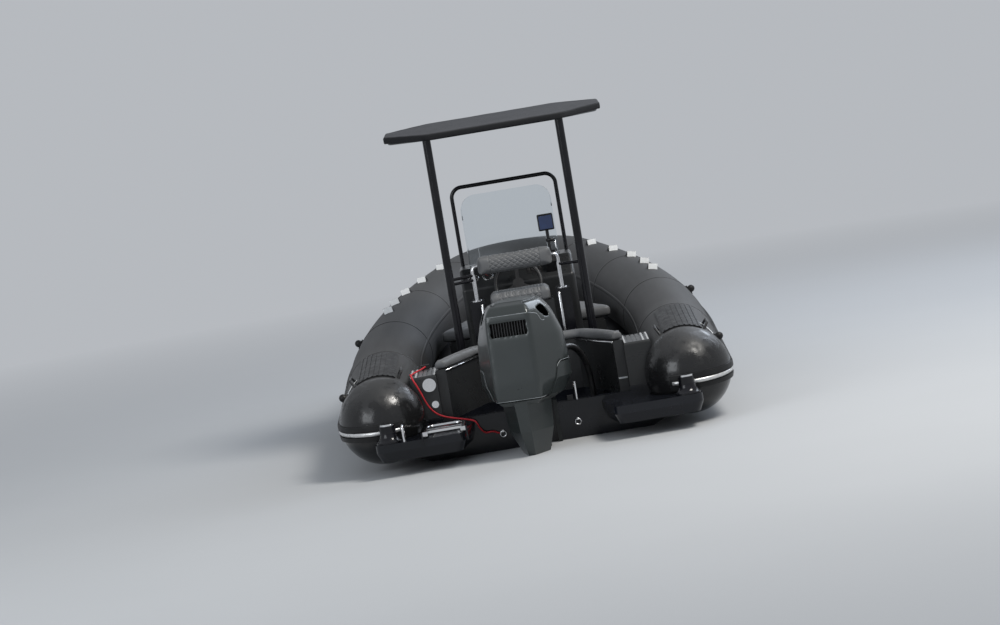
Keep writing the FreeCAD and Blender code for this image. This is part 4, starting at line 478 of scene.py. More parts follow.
def collar_legs():
    """The starboard side's line, as (kind, length or radius, angle)."""
    flank = math.radians(FLANK[1])
    both = math.radians(FLANK[1] + SHOULDER[1])
    after_flank = TUBE_GAUGE - FLANK[0] * (1 - math.cos(flank))
    after_shoulder = after_flank - SHOULDER[0] * (math.cos(flank) - math.cos(both))
    return [
        ("straight", TUBE_AFT + SIDE_RUN, 0.0),
        ("sheer", *SHEER),
        ("turn", *FLANK),
        ("turn", *SHOULDER),
        ("turn", after_shoulder / math.cos(both), 90 - math.degrees(both)),
    ]


def leg_length(kind, size, angle):
    return size if kind == "straight" else size * math.radians(angle)


COLLAR_LENGTH = sum(leg_length(*leg) for leg in collar_legs())
COLLAR_START = (Matrix.Translation((TUBE_GAUGE, -TUBE_AFT, TUBE_HEIGHT))
                @ Matrix.Rotation(math.radians(STERN_PITCH), 4, "X"))


def collar_frame(distance):
    """The place on the tube's axis at a distance from its aft end: X outboard, Y along, Z up."""
    place = COLLAR_START
    for kind, size, angle in collar_legs():
        length = leg_length(kind, size, angle)
        part = min(1.0, distance / length)
        if kind == "straight":
            place = place @ Matrix.Translation((0, size * part, 0))
        elif kind == "sheer":
            lift = Matrix.Translation((0, 0, size))
            place = place @ lift @ Matrix.Rotation(math.radians(angle) * part, 4, "X") @ lift.inverted()
        else:
            swing = Matrix.Translation((-size, 0, 0))
            place = place @ swing @ Matrix.Rotation(math.radians(angle) * part, 4, "Z") @ swing.inverted()
        if distance <= length:
            return place
        distance -= length
    return place


def on_side(point, side):
    """A starboard point, or its mirror image to port."""
    return Vector((point.x * side, point.y, point.z))


def on_collar(distance, angle, radius, side):
    """A point at an angle from the tube's top towards outboard."""
    turn = math.radians(angle)
    offset = Vector((radius * math.sin(turn), 0, radius * math.cos(turn)))
    return on_side(collar_frame(distance) @ offset, side)


def on_cone(turn, drop, proud):
    """A starboard point of the cone: turn is 0 outboard and 90 at the rear, drop is below its axis."""
    radius = TUBE_RADIUS + proud
    length = CONE_LENGTH + proud
    share = math.sqrt(1 - (drop / radius) ** 2)
    angle = math.radians(turn)
    return COLLAR_START @ Vector((radius * share * math.cos(angle), -length * share * math.sin(angle), -drop))


def collar_strip(name, start, end, low, high, proud, thickness, side, steps, columns):
    """A strip of tube cloth between two distances and two angles."""
    rows = []
    for i in range(steps + 1):
        distance = start + (end - start) * i / steps
        outer = []
        inner = []
        for j in range(columns + 1):
            angle = low + (high - low) * j / columns
            point = on_collar(distance, angle, TUBE_RADIUS + proud, side)
            inward = (on_collar(distance, angle, 0.0, side) - point).normalized()
            outer.append(point)
            inner.append(point + inward * thickness)
        rows.append(outer + inner[::-1])
    piece(name, grid_mesh(name, rows), *TUBE_CLOTH)


SKIN_STEPS = 190
SKIN_SIDES = 90
SKIN_DEPTH = 0.0006
SKIN_WAVE = 0.0005


def make_collar_skin():
    """The tubes' cloth, from one cone round the bow to the other, with a faint unevenness."""
    rows = []
    for side in (PORT, STARBOARD):
        half = []
        for step in range(SKIN_STEPS + 1):
            distance = COLLAR_LENGTH * step / SKIN_STEPS
            ring = []
            for turn in range(SKIN_SIDES):
                angle = 360 * turn / SKIN_SIDES
                wave = SKIN_WAVE * noise.noise(on_collar(distance, angle, TUBE_RADIUS, side) * 5)
                ring.append(on_collar(distance, angle, TUBE_RADIUS - SKIN_DEPTH + wave, side))
            half.append(ring)
        rows += half if side == PORT else half[-2::-1]
    skin = piece("collar_skin", grid_mesh("collar_skin", rows), *TUBE_CLOTH)
    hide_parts("tube_port", "tube_bow", "tube_starboard")


# Where the stripe ends past the back of the cone, its steps, and its section as angles and lifts
STRIPE_END = 116
STRIPE_CONE_STEPS = 24
STRIPE_STEPS = 120
STRIPE_SECTION = [
    (STRAKE_ANGLE - 2.7, -0.001), (STRAKE_ANGLE - 2.7, 0.002), (STRAKE_ANGLE, 0.006),
    (STRAKE_ANGLE + 2.7, 0.002), (STRAKE_ANGLE + 2.7, -0.001),
]


def make_strake_stripes():
    """The pale stripe in the strake's channel, from the back of each cone to the nose."""
    rows = []
    for step in range(STRIPE_CONE_STEPS + 1):
        turn = STRIPE_END * (1 - step / STRIPE_CONE_STEPS)
        rows.append([
            on_cone(turn, TUBE_RADIUS * math.sin(math.radians(angle - 90)), STRAKE_BASE + lift)
            for angle, lift in STRIPE_SECTION
        ])
    for step in range(1, STRIPE_STEPS + 1):
        distance = COLLAR_LENGTH * step / STRIPE_STEPS
        rows.append([
            on_collar(distance, angle, TUBE_RADIUS + STRAKE_BASE + lift, STARBOARD)
            for angle, lift in STRIPE_SECTION
        ])
    for side, name in SIDE_NAMES.items():
        sided = [[on_side(point, side) for point in row] for row in rows]
        piece(f"strake_stripe_{name}", grid_mesh(f"strake_stripe_{name}", sided), *SILVER)


SEAM_TAPE = 0.034
SEAM_PLACES = (1.36, 2.72, 4.10, 5.38)
SEAM_LINES = {"inner": -72, "top": 62}


def make_seams():
    """Welded tapes round the tubes where their panels and chambers meet, and along them."""
    for side, name in SIDE_NAMES.items():
        for number, distance in enumerate(SEAM_PLACES):
            collar_strip(f"seam_{name}_{number}", distance, distance + SEAM_TAPE, -118, 88, 0.0012, 0.0022,
                         side, 2, 48)
        for label, angle in SEAM_LINES.items():
            collar_strip(f"seam_{name}_{label}", 0.0, COLLAR_LENGTH, angle, angle + 5, 0.001, 0.002,
                         side, 110, 3)


WEBBING_STEPS = 16
# Distance along the collar and angle from its top, at the strap's start and what is added by its end
WEBBING_START = (0.45, 31)
WEBBING_RUN = (-0.27, 21)


def make_webbing():
    """A flat strap from each step pad's outer corner down to the last knob."""
    for side, name in SIDE_NAMES.items():
        points = []
        normals = []
        for step in range(WEBBING_STEPS + 1):
            share = step / WEBBING_STEPS
            distance, angle = [start + run * share for start, run in zip(WEBBING_START, WEBBING_RUN)]
            slack = 0.004 * math.sin(math.pi * share)
            points.append(on_collar(distance, angle, TUBE_RADIUS + 0.002 + slack, side))
            normals.append((points[-1] - on_collar(distance, angle, 0.0, side)).normalized())
        ribbon(f"webbing_{name}", points, normals, 0.018, 0.002, *WEBBING)


# Trim of the stern, seat and console

QUARTER_STRIPS = (0.672, 0.803, 0.8365)
STRIP_HALF = 0.006
WELL_BEAD = ((0.587, 0.0555, 0.6125), (0.345, 0.740, 0.6125))


def make_stern_trim():
    """Bright strips on the quarter blocks and a bead below the bolster."""
    for side, name in SIDE_NAMES.items():
        for number, x in enumerate(QUARTER_STRIPS):
            block(f"quarter_strip_{name}_{number}", (x * side - STRIP_HALF, 0.014, 0.5985),
                  (x * side + STRIP_HALF, 0.548, 0.6035), *SILVER, edge=0.0015)
        bead = [(x * side, y, z) for x, y, z in WELL_BEAD]
        tube_piece(f"well_bead_{name}", bead, 0.006, *CHROME)
    block("transom_light", (0.592, 0.0535, 0.352), (0.656, 0.0595, 0.363), *WEBBING)


# The rail's line as Y and Z, and its distance from the centreline
SEAT_RAIL = ((1.252, 0.30), (1.240, 0.305), (1.233, 0.325), (1.233, 0.905), (1.240, 0.925), (1.252, 0.93))
SEAT_RAIL_X = 0.285


def make_seat_trim():
    """Bright rails on the aft faces of the seat's columns, and the flanges of the frames."""
    for side, name in SIDE_NAMES.items():
        tube_piece(f"seat_rail_{name}", [(SEAT_RAIL_X * side, y, z) for y, z in SEAT_RAIL], 0.011, *CHROME)
        disc(f"backrest_flange_{name}", (0.315 * side, 1.31, 0.9545), (0, 0, 1), 0.034, 0.008, *CHROME)
        disc(f"leg_flange_{name}", (0.486 * side, 1.2, 0.1195), (0, 0, 1), 0.062, 0.010, *LEG_BLACK)


# The middle of the console's slope, and the gauges' places across it
SLOPE = (2.025, 1.075)
GAUGES = (-0.33, -0.22)
SWITCHES = 4


def turned(place, degrees, axis):
    return place @ Matrix.Rotation(math.radians(degrees), 4, axis)


def make_console_trim():
    """Gauges and switches on the console's slope, the screen, and the throttle's lever."""
    normal = Vector((0, -1, 1)).normalized()
    for number, x in enumerate(GAUGES):
        centre = Vector((x, *SLOPE))
        disc(f"gauge_rim_{number}", centre - normal * 0.001, normal, 0.040, 0.009, *CHROME)
        disc(f"gauge_face_{number}", centre + normal * 0.006, normal, 0.035, 0.0035, *BLACK, edge=0.0005)
        upright = turned(Matrix.Translation(centre + normal * 0.0095), 45, "X")
        for tick in range(9):
            block(f"gauge_tick_{number}_{tick}", (-0.0007, 0.026, 0), (0.0007, 0.033, 0.0005), *WEBBING,
                  place=turned(upright, -120 + 30 * tick, "Z"), edge=0)
        block(f"gauge_needle_{number}", (-0.0008, -0.004, 0), (0.0008, 0.026, 0.001), *NEEDLE,
              place=turned(upright, 55, "Z"), edge=0)
    upright = turned(Matrix.Translation((0, *SLOPE)), 45, "X")
    block("switch_panel", (0.075, -0.045, -0.001), (0.190, 0.045, 0.003), *BLACK, place=upright)
    for number in range(SWITCHES):
        tilted = turned(upright @ Matrix.Translation((0.089 + 0.029 * number, 0, 0.004)), 9, "X")
        block(f"switch_{number}", (-0.009, -0.018, -0.003), (0.009, 0.018, 0.006), *BLACK, place=tilted,
              edge=0.0015)
    low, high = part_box("display")
    block("display_screen", (low.x + 0.010, low.y - 0.0012, high.z - 0.113),
          (high.x - 0.010, low.y + 0.002, high.z - 0.012), *SCREEN, edge=0.0005)
    low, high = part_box("throttle")
    side = high.x
    middle = (low.y + high.y) / 2
    top = high.z
    disc("throttle_hub", (side - 0.001, middle, top - 0.045), (1, 0, 0), 0.026, 0.012, *CHROME)
    lever = [(side + 0.012, middle, top - 0.045), (side + 0.014, middle - 0.006, top + 0.010),
             (side + 0.010, middle - 0.016, top + 0.075)]
    tube_piece("throttle_lever", lever, 0.006, *CHROME)
    grip = [(side + 0.014, middle - 0.018, top + 0.078), (side - 0.055, middle - 0.018, top + 0.080)]
    tube_piece("throttle_grip", grip, 0.013, *BLACK, sides=24)


# The engine's covers, drawn straight ahead and then turned to where it is steered at rest

STEER_AXIS = Vector((0, -0.195, 0))
ENGINE_PLACE = (Matrix.Translation(STEER_AXIS) @ Matrix.Rotation(math.radians(-12.5), 4, "Z")
                @ Matrix.Translation(-STEER_AXIS))
VENT = (0.125, 0.838, 0.935)
VENT_SLATS = 12
SEAM_REAR = 0.390
SEAM_SIDE = 0.600
SEAM_STEP = (-0.582, -0.497)
# How far above the seam its bead is looked for, and where the rays from astern start
SEAM_LIFT = 0.010
RAY_START = -1.2
# Rays along the rear seam, up its step, along the side and under the cap, with how far they reach
REAR_RAYS = 60
REAR_REACH = 0.29
STEP_RAYS = 12
SIDE_RAYS = 30
SIDE_REACH = 0.50
CAP_RAYS = 40
CAP_REACH = 0.24
# The cap's joint: its height at one Y, and how it falls towards the bow
CAP_HEIGHT = 0.988
CAP_Y = 0.71
CAP_FALL = 0.22
# What slats and baffle reach past the vent, and half a slat's thickness and its depth
VENT_MARGIN = 0.012
SLAT_HALF = 0.0025
SLAT_DEPTH = 0.030


def make_hood():
    """The upper cover with its moulded edges rounded over, its vent and its seams, whose beads carry painted
    highlights.
    """
    hood = node_copy("hood", "upper_cowl")
    hood.data.transform(ENGINE_PLACE.inverted())
    remesh(hood, 0.0075)
    soften(hood, 0.5, 34)
    cut_vent(hood)
    tree = BVHTree.FromObject(hood, bpy.context.evaluated_depsgraph_get())
    make_slats(tree)
    make_seam_beads(tree)
    hood.data.transform(ENGINE_PLACE)
    coat(hood.data, HOOD_PAINT[0])
    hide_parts("upper_cowl")
    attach(hood, "engine")


def cut_vent(hood):
    """Open the vent again through the rounded shell."""
    half, low, top = VENT
    cutter = block("vent_cutter", (-half, -0.9, low), (half, -0.6, top), *HOOD_PAINT, edge=0)
    cut = hood.modifiers.new("vent", "BOOLEAN")
    cut.operation = "DIFFERENCE"
    cut.solver = "EXACT"
    cut.object = cutter
    apply_all(hood)
    bpy.data.objects.remove(cutter)


def shell_hit(tree, start, direction):
    """The first place where a ray meets the cover, or nothing."""
    place, normal, _, _ = tree.ray_cast(Vector(start), Vector(direction))
    return (place, normal) if place else None


def make_slats(tree):
    """Upright slats in the vent and the dark baffle behind them."""
    half, low, top = VENT
    levels = (low - VENT_MARGIN, top + VENT_MARGIN)
    faces = [shell_hit(tree, (0, RAY_START, z), (0, 1, 0))[0].y for z in levels]
    lean = (faces[1] - faces[0]) / (top - low + 2 * VENT_MARGIN)
    pitch = 2 * half / (VENT_SLATS + 1)
    verts = []
    cells = []
    for number in range(VENT_SLATS):
        x = pitch * (number + 1) - half
        first = len(verts)
        for z in (low - 0.003, top + 0.003):
            face = faces[0] + lean * (z - low + VENT_MARGIN) + 0.007
            for y in (face, face + SLAT_DEPTH):
                verts += [(x - SLAT_HALF, y, z), (x + SLAT_HALF, y, z)]
        for corners in ((0, 1, 3, 2), (4, 6, 7, 5), (0, 4, 5, 1), (2, 3, 7, 6), (0, 2, 6, 4), (1, 5, 7, 3)):
            cells.append(tuple(first + corner for corner in corners))
    mesh = bpy.data.meshes.new("vent_slats")
    mesh.from_pydata(verts, [], cells)
    mesh.transform(ENGINE_PLACE)
    piece("vent_slats", mesh, *VENT_BLACK, smooth=False)
    back = max(faces) + 0.046
    block("vent_baffle", (-half - VENT_MARGIN, back, low - 0.014),
          (half + VENT_MARGIN, back + 0.004, top + 0.014), *VENT_BLACK, place=ENGINE_PLACE)


def make_seam_beads(tree):
    """Thin pale beads where the upper cover meets the lower one and its own cap, their colour a painted
    highlight.
    """
    half = []
    for step in range(REAR_RAYS):
        x = REAR_REACH * step / (REAR_RAYS - 1)
        hit = shell_hit(tree, (x, RAY_START, SEAM_REAR + SEAM_LIFT), (0, 1, 0))
        if not hit or hit[0].y > SEAM_STEP[0] - 0.004:
            break
        half.append(hit)
    starts = []
    for step in range(1, STEP_RAYS + 1):
        share = step / STEP_RAYS
        starts.append((1.0, SEAM_STEP[0] + (SEAM_STEP[1] - SEAM_STEP[0]) * share,
                       SEAM_REAR + SEAM_LIFT + (SEAM_SIDE - SEAM_REAR) * share))
    for step in range(1, SIDE_RAYS + 1):
        starts.append((1.0, SEAM_STEP[1] + SIDE_REACH * step / SIDE_RAYS, SEAM_SIDE + SEAM_LIFT))
    hits = [shell_hit(tree, start, (-1, 0, 0)) for start in starts]
    lay_bead("seam_bead", half + [hit for hit in hits if hit])

    half = []
    for step in range(CAP_RAYS):
        x = CAP_REACH * step / (CAP_RAYS - 1)
        y = -0.70
        for _ in range(6):
            hit = shell_hit(tree, (x, RAY_START, CAP_HEIGHT - CAP_FALL * (y + CAP_Y)), (0, 1, 0))
            if not hit:
                break
            y = hit[0].y
        if not hit or y > -0.45:
            break
        half.append(hit)
    lay_bead("cap_bead", half)


def lay_bead(name, half):
    """A bead over both halves of a line on the cover, half sunk in it."""
    if len(half) < 3:
        raise SystemExit(f"{name} found {len(half)} points")
    points = [place + normal * 0.0004 for place, normal in half]
    mirrored = [on_side(point, PORT) for point in reversed(points[1:])]
    line = smoothed(mirrored + points, 3)
    line = [ENGINE_PLACE @ point for point in line]
    # The bead's pale grey is a painted highlight on the seam.
    tube_piece(name, line, 0.0022, *SEAM_HIGHLIGHT, sides=10)


def smoothed(points, repeats):
    """The points with their corners eased."""
    for _ in range(repeats):
        points = [points[0]] + [
            (points[i - 1] + points[i] * 2 + points[i + 1]) / 4 for i in range(1, len(points) - 1)
        ] + [points[-1]]
    return points


# Soft goods

def node_copy(name, node):
    """A loose copy of a CAD node's mesh."""
    return add_object(name, nodes[node].data.copy())


def apply_all(target):
    """Replace the object's mesh by what its modifiers give."""
    graph = bpy.context.evaluated_depsgraph_get()
    mesh = bpy.data.meshes.new_from_object(target.evaluated_get(graph))
    target.modifiers.clear()
    old = target.data
    target.data = mesh
    bpy.data.meshes.remove(old)


def remesh(target, voxel):
    made = target.modifiers.new("remesh", "REMESH")
    made.mode = "VOXEL"
    made.voxel_size = voxel
    made.use_smooth_shade = True
    apply_all(target)


def soften(target, factor, repeats):
    made = target.modifiers.new("smooth", "SMOOTH")
    made.factor = factor
    made.iterations = repeats
    apply_all(target)


def shrink(target, inset):
    """Bring each face in by the inset, measured along each axis."""
    low = Vector([min(v.co[i] for v in target.data.vertices) for i in range(3)])
    high = Vector([max(v.co[i] for v in target.data.vertices) for i in range(3)])
    middle = (low + high) / 2
    for vertex in target.data.vertices:
        for i in range(3):
            half = (high[i] - low[i]) / 2
            vertex.co[i] = middle[i] + (vertex.co[i] - middle[i]) * (half - inset) / half


CLOTH_FRAMES = 20


def inflate(target, pressure, cap):
    """Cloth with pressure, run for its frames, each point moving by at most the cap."""
    rest = [vertex.co.copy() for vertex in target.data.vertices]
    cloth = target.modifiers.new("cloth", "CLOTH")
    cloth.settings.use_pressure = True
    cloth.settings.uniform_pressure_force = pressure
    cloth.settings.effector_weights.gravity = 0.0
    cloth.settings.quality = 5
    cloth.settings.tension_stiffness = 12
    cloth.settings.compression_stiffness = 12
    cloth.point_cache.frame_start = 1
    cloth.point_cache.frame_end = CLOTH_FRAMES
    scene = bpy.context.scene
    for number in range(1, CLOTH_FRAMES + 1):
        scene.frame_set(number)
    apply_all(target)
    scene.frame_set(1)
    for vertex, start in zip(target.data.vertices, rest):
        move = vertex.co - start
        if move.length > cap:
            vertex.co = start + move.normalized() * cap


def plump(name, node, voxel, inset, pressure=4.0, cap=0.016, finer=False):
    """A stuffed form of a CAD cushion: softened, then blown up by a cloth simulation."""
    made = node_copy(name, node)
    shrink(made, inset)
    remesh(made, voxel)
    soften(made, 0.5, 6)
    inflate(made, pressure, cap)
    soften(made, 0.5, 2)
    if finer:
        made.modifiers.new("finer", "SUBSURF").levels = 1
        apply_all(made)
    coat(made.data, MATERIALS["grey_vinyl"])
    return made


def quilt(target, along, pitch, depth, inside, facing):
    """Press sewn diamonds into the faces that look one way, where the test allows."""
    facing = Vector(facing)
    mesh = target.data
    normals = [vertex.normal.copy() for vertex in mesh.vertices]
    for vertex, normal in zip(mesh.vertices, normals):
        share = normal.dot(facing)
        if share < 0.2 or not inside(vertex.co):
            continue
        u = vertex.co.x / pitch[0]
        v = vertex.co.dot(Vector(along)) / pitch[1]
        first = abs(((u + v) % 1.0) - 0.5) * 2
        second = abs(((u - v) % 1.0) - 0.5) * 2
        groove = max(channel(first), channel(second))
        vertex.co -= normal * (depth * groove * min(1.0, share * 1.5))


def channel(share):
    """1 on a sewn line, falling away to 0 in the middle of a diamond."""
    return max(0.0, (share - 0.55) / 0.45) ** 1.6


def crease(target, place, width, depth):
    """A sewn line from front to back at one X."""
    for vertex in target.data.vertices:
        away = abs(vertex.co.x - place) / width
        if away < 1:
            vertex.co -= vertex.normal * (depth * (1 - away) ** 2)


def finish_cushion(target, node, body):
    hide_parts(node)
    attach(target, body)


# How far the quilting reaches from the middle of the helm seat and of its backrest
SEAT_QUILT = 0.155
ROLL_QUILT = 0.185
# The plain rim round the quilting of the other pads, and their voxels
PAD_RIM = 0.1
PAD_VOXELS = {"aft_bench_cushion": 0.011, "front_seat_cushion": 0.010, "front_seat_back": 0.010,
              "bow_cushion": 0.015}


def side_creases(target, place):
    for side in SIDES:
        crease(target, place * side, 0.006, 0.006)


def make_cushions():
    """Seat, backrest, benches and bow pad."""
    seat = plump("seat_cushion_pad", "seat_cushion", 0.008, 0.006, finer=True)
    quilt(seat, (0, 1, -1), (0.046, 0.040), 0.006, lambda p: abs(p.x) < SEAT_QUILT, (0, -0.6, 0.8))
    side_creases(seat, SEAT_QUILT)
    finish_cushion(seat, "seat_cushion", "hull")

    roll = plump("backrest_pad", "backrest", 0.007, 0.004, pressure=6.0, cap=0.02, finer=True)
    for facing in ((0, -0.7, 0.7), (0, 1, 0)):
        quilt(roll, (0, 0, 1), (0.046, 0.036), 0.005, lambda p: abs(p.x) < ROLL_QUILT, facing)
    side_creases(roll, ROLL_QUILT)
    finish_cushion(roll, "backrest", "hull")

    for node, voxel in PAD_VOXELS.items():
        pad = plump(f"{node}_pad", node, voxel, 0.006)
        low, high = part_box(node)

        def inside(p):
            across = low.x + PAD_RIM < p.x < high.x - PAD_RIM
            return across and low.y + PAD_RIM * 0.6 < p.y < high.y - PAD_RIM * 0.6

        quilt(pad, (0, 1, 0), (0.07, 0.09), 0.007, inside, (0, 0, 1))
        finish_cushion(pad, node, "locker_lid" if node == "bow_cushion" else "hull")

    bolster = plump("aft_bolster_pad", "aft_bolster", 0.009, 0.003)
    finish_cushion(bolster, "aft_bolster", "hull")


# Cords

HOSE_UPPER = [
    (0.194, 0.073, 0.572), (0.220, 0.116, 0.605), (0.261, 0.185, 0.625), (0.302, 0.255, 0.617),
    (0.339, 0.318, 0.584), (0.369, 0.370, 0.527),
]
HOSE_LOWER = [
    (0.369, 0.370, 0.527), (0.390, 0.404, 0.455), (0.401, 0.424, 0.372), (0.404, 0.429, 0.288),
    (0.405, 0.430, 0.205),
]
HOSE_ROUTE = HOSE_UPPER + HOSE_LOWER[1:]
HOSE_RADIUS = 0.022
ROPE_ROUTE = [
    (-0.745, 0.545, 0.614), (-0.772, 0.450, 0.608), (-0.806, 0.350, 0.607), (-0.828, 0.240, 0.607),
    (-0.838, 0.140, 0.608), (-0.839, 0.070, 0.614), (-0.836, 0.010, 0.626), (-0.824, -0.024, 0.588),
    (-0.798, -0.028, 0.532), (-0.774, -0.026, 0.462), (-0.750, -0.024, 0.394), (-0.712, -0.025, 0.340),
    (-0.660, -0.030, 0.306), (-0.590, -0.036, 0.283), (-0.520, -0.040, 0.266), (-0.470, -0.042, 0.252),
    (-0.436, -0.042, 0.234), (-0.421, -0.042, 0.184), (-0.385, -0.038, 0.140), (-0.331, -0.032, 0.150),
    (-0.291, -0.016, 0.124),
]
ROPE_RADIUS = 0.006


def route_points(route, resolution=24):
    """Points of the smooth line through a cord's route."""
    curve = bpy.data.curves.new("route", "CURVE")
    curve.dimensions = "3D"
    spline = curve.splines.new("NURBS")
    spline.points.add(len(route) - 1)
    for point, place in zip(spline.points, route):
        point.co = (*place, 1.0)
    spline.order_u = 3
    spline.use_endpoint_u = True
    spline.resolution_u = resolution
    holder = add_object("route", curve)
    bpy.context.view_layer.update()
    mesh = bpy.data.meshes.new_from_object(holder)
    points = [vertex.co.copy() for vertex in mesh.vertices]
    bpy.data.objects.remove(holder)
    bpy.data.curves.remove(curve)
    bpy.data.meshes.remove(mesh)
    return points


def path_length(points):
    return sum((b - a).length for a, b in zip(points, points[1:]))


def make_hose():
    """The rigging hose, made as an upper half and a lower half that meet where the upper run ends."""
    points = route_points(HOSE_ROUTE)
    split = min(range(len(points)), key=lambda i: (points[i] - Vector(HOSE_UPPER[-1])).length)
    halves = {
        "hose_upper": (points[:split + 1], "engine", "swivel", 0.384),
        "hose_lower": (points[split:], "swivel", "hull", 0.335),
    }
    for name, (line, first, second, length) in halves.items():
        made = add_object(name, grid_mesh(name, tube_rows(line, hose_radius, 24)))
        coat(made.data, MATERIALS["hose_black"])
        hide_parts("rigging_hose")
        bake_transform(made)
        print(name, "length", round(path_length(line), 4))


def hose_radius(distance, _):
    """Shallow rings, as on a rigging hose."""
    return HOSE_RADIUS * (1 + 0.025 * math.cos(2 * math.pi * distance / 0.012))


def rope_radius(distance, angle):
    """Two sets of strands that cross, as on braided line."""
    lay = 2 * math.pi * distance / 0.022
    strands = abs(math.sin(2 * angle + lay)) * abs(math.sin(2 * angle - lay))
    return ROPE_RADIUS * (0.93 + 0.09 * strands + 0.02)


def make_rope():
    """The red line from its cleat, over the quarter and along the transom to the port ring."""
    line = route_points(ROPE_ROUTE, resolution=30)
    rope = piece("rope", grid_mesh("rope", tube_rows(line, rope_radius)), *ROPE)
    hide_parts("red_rope")


# Roof cloth

ROOF_OUTLINE = [(0.50, 1.13), (0.81, 1.62), (0.81, 2.16), (0.50, 2.64)]
ROOF_CENTRE = Vector((0, (ROOF_OUTLINE[0][1] + ROOF_OUTLINE[3][1]) / 2))
ROOF_AFT = ROOF_OUTLINE[0][1]
ROOF_WIDE = ROOF_OUTLINE[1][0]
ROOF_LENGTH = ROOF_OUTLINE[3][1] - ROOF_AFT
ROOF_POINTS = 240
TOP_RINGS = 28
EDGE_RINGS = 5
ROOF_EDGE = 0.018
ROOF_LOW = 2.182
ROOF_BAR = 0.486


def rounded_outline(corners, radius, steps=8):
    """A closed outline with arcs at its corners."""
    corners = [Vector(c) for c in corners]
    points = []
    for i, here in enumerate(corners):
        back = (corners[i - 1] - here).normalized()
        ahead = (corners[(i + 1) % len(corners)] - here).normalized()
        half = back.angle(ahead) / 2
        middle = (back + ahead).normalized()
        centre = here + middle * (radius / math.sin(half))
        start = here + back * (radius / math.tan(half))
        end = here + ahead * (radius / math.tan(half))
        first = math.atan2(start.y - centre.y, start.x - centre.x)
        sweep = math.atan2(end.y - centre.y, end.x - centre.x) - first
        sweep = (sweep + math.pi) % (2 * math.pi) - math.pi
        for step in range(steps + 1):
            turn = first + sweep * step / steps
            points.append(Vector((centre.x + radius * math.cos(turn), centre.y + radius * math.sin(turn))))
    return points


def resampled(outline, count):
    """Evenly spaced points round a closed outline."""
    lengths = [0.0]
    closed = outline + outline[:1]
    for a, b in zip(closed, closed[1:]):
        lengths.append(lengths[-1] + (b - a).length)
    points = []
    index = 0
    for step in range(count):
        goal = lengths[-1] * step / count
        while lengths[index + 1] < goal:
            index += 1
        share = (goal - lengths[index]) / max(1e-9, lengths[index + 1] - lengths[index])
        points.append(closed[index].lerp(closed[index + 1], share))
    return points


def make_roof():
    """One sheet of cloth over the roof's frame, pulled down all round and hemmed."""
    corners = ROOF_OUTLINE + [(-x, y) for x, y in reversed(ROOF_OUTLINE)]
    outline = resampled(rounded_outline(corners, 0.075), ROOF_POINTS)
    rows = []
    for step in range(1, TOP_RINGS + 1):
        share = step / TOP_RINGS
        rows.append([roof_top_point(point, share) for point in outline])
    for step in range(1, EDGE_RINGS + 1):
        turn = math.pi / 2 * step / EDGE_RINGS
        rows.append([roof_point(point, ROOF_EDGE * (1 - math.sin(turn)),
                                roof_level(point.y) - ROOF_EDGE * (1 - math.cos(turn))) for point in outline])
    for inward, share in ((0.000, 0.5), (0.001, 0.85), (0.002, 1.0)):
        row = []
        for index, point in enumerate(outline):
            level = roof_level(point.y)
            fall = (ROOF_LOW + hem_rise(index, point) - level + ROOF_EDGE) * share
            row.append(roof_point(point, inward, level - ROOF_EDGE + fall))
        rows.append(row)
    for inward, drop in ((0.005, 0.0035), (0.010, 0.0045), (0.022, 0.002)):
        rows.append([roof_point(point, inward, ROOF_LOW + hem_rise(index, point) - drop)
                     for index, point in enumerate(outline)])
    mesh = grid_mesh("roof_cloth", rows, capped=False)
    work = bmesh.new()
    work.from_mesh(mesh)
    work.verts.ensure_lookup_table()
    work.faces.new([work.verts[i] for i in range(len(outline))])
    bmesh.ops.recalc_face_normals(work, faces=work.faces)
    work.to_mesh(mesh)
    work.free()
    roof = add_object("roof_cloth", mesh)
    coat(mesh, MATERIALS["canvas"])
    for vertex in mesh.vertices:
        vertex.co.z += 0.0018 * noise.noise(vertex.co * 9.0)
    thick = roof.modifiers.new("cloth", "SOLIDIFY")
    thick.thickness = 0.0016
    apply_all(roof)
    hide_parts("canopy")
    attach(roof, "hull")


def roof_level(y):
    """The height of the cloth, which rises a little towards the bow."""
    share = (y - ROOF_AFT) / ROOF_LENGTH
    return 2.225 + 0.040 * max(0.0, share) ** 0.8


def roof_point(point, inward, level):
    reach = (point - ROOF_CENTRE).normalized()
    return Vector((point.x - reach.x * inward, point.y - reach.y * inward, level))


def roof_top_point(point, share):
    """A point of the top, sagging between the frame's bars."""
    edge = roof_point(point, ROOF_EDGE, 0.0)
    x = ROOF_CENTRE.x + (edge.x - ROOF_CENTRE.x) * share
    y = ROOF_CENTRE.y + (edge.y - ROOF_CENTRE.y) * share
    if abs(x) < ROOF_BAR:
        across = math.cos(math.pi * x / (2 * ROOF_BAR))
    else:
        across = math.sin(math.pi * min(1.0, (abs(x) - ROOF_BAR) / (ROOF_WIDE - ROOF_BAR)))
    along = abs(math.sin(math.pi * (y - ROOF_AFT) / (ROOF_LENGTH / 2)))
    return Vector((x, y, roof_level(y) - 0.006 * across * along))


def hem_rise(index, point):
    """The hem lifts a little in short waves, and towards the roof's tips."""
    tips = max(0.0, abs(point.x) - ROOF_OUTLINE[0][0]) / (ROOF_WIDE - ROOF_OUTLINE[0][0])
    return 0.0025 * math.sin(index * math.pi / 10) ** 2 + 0.011 * tips


# Stage

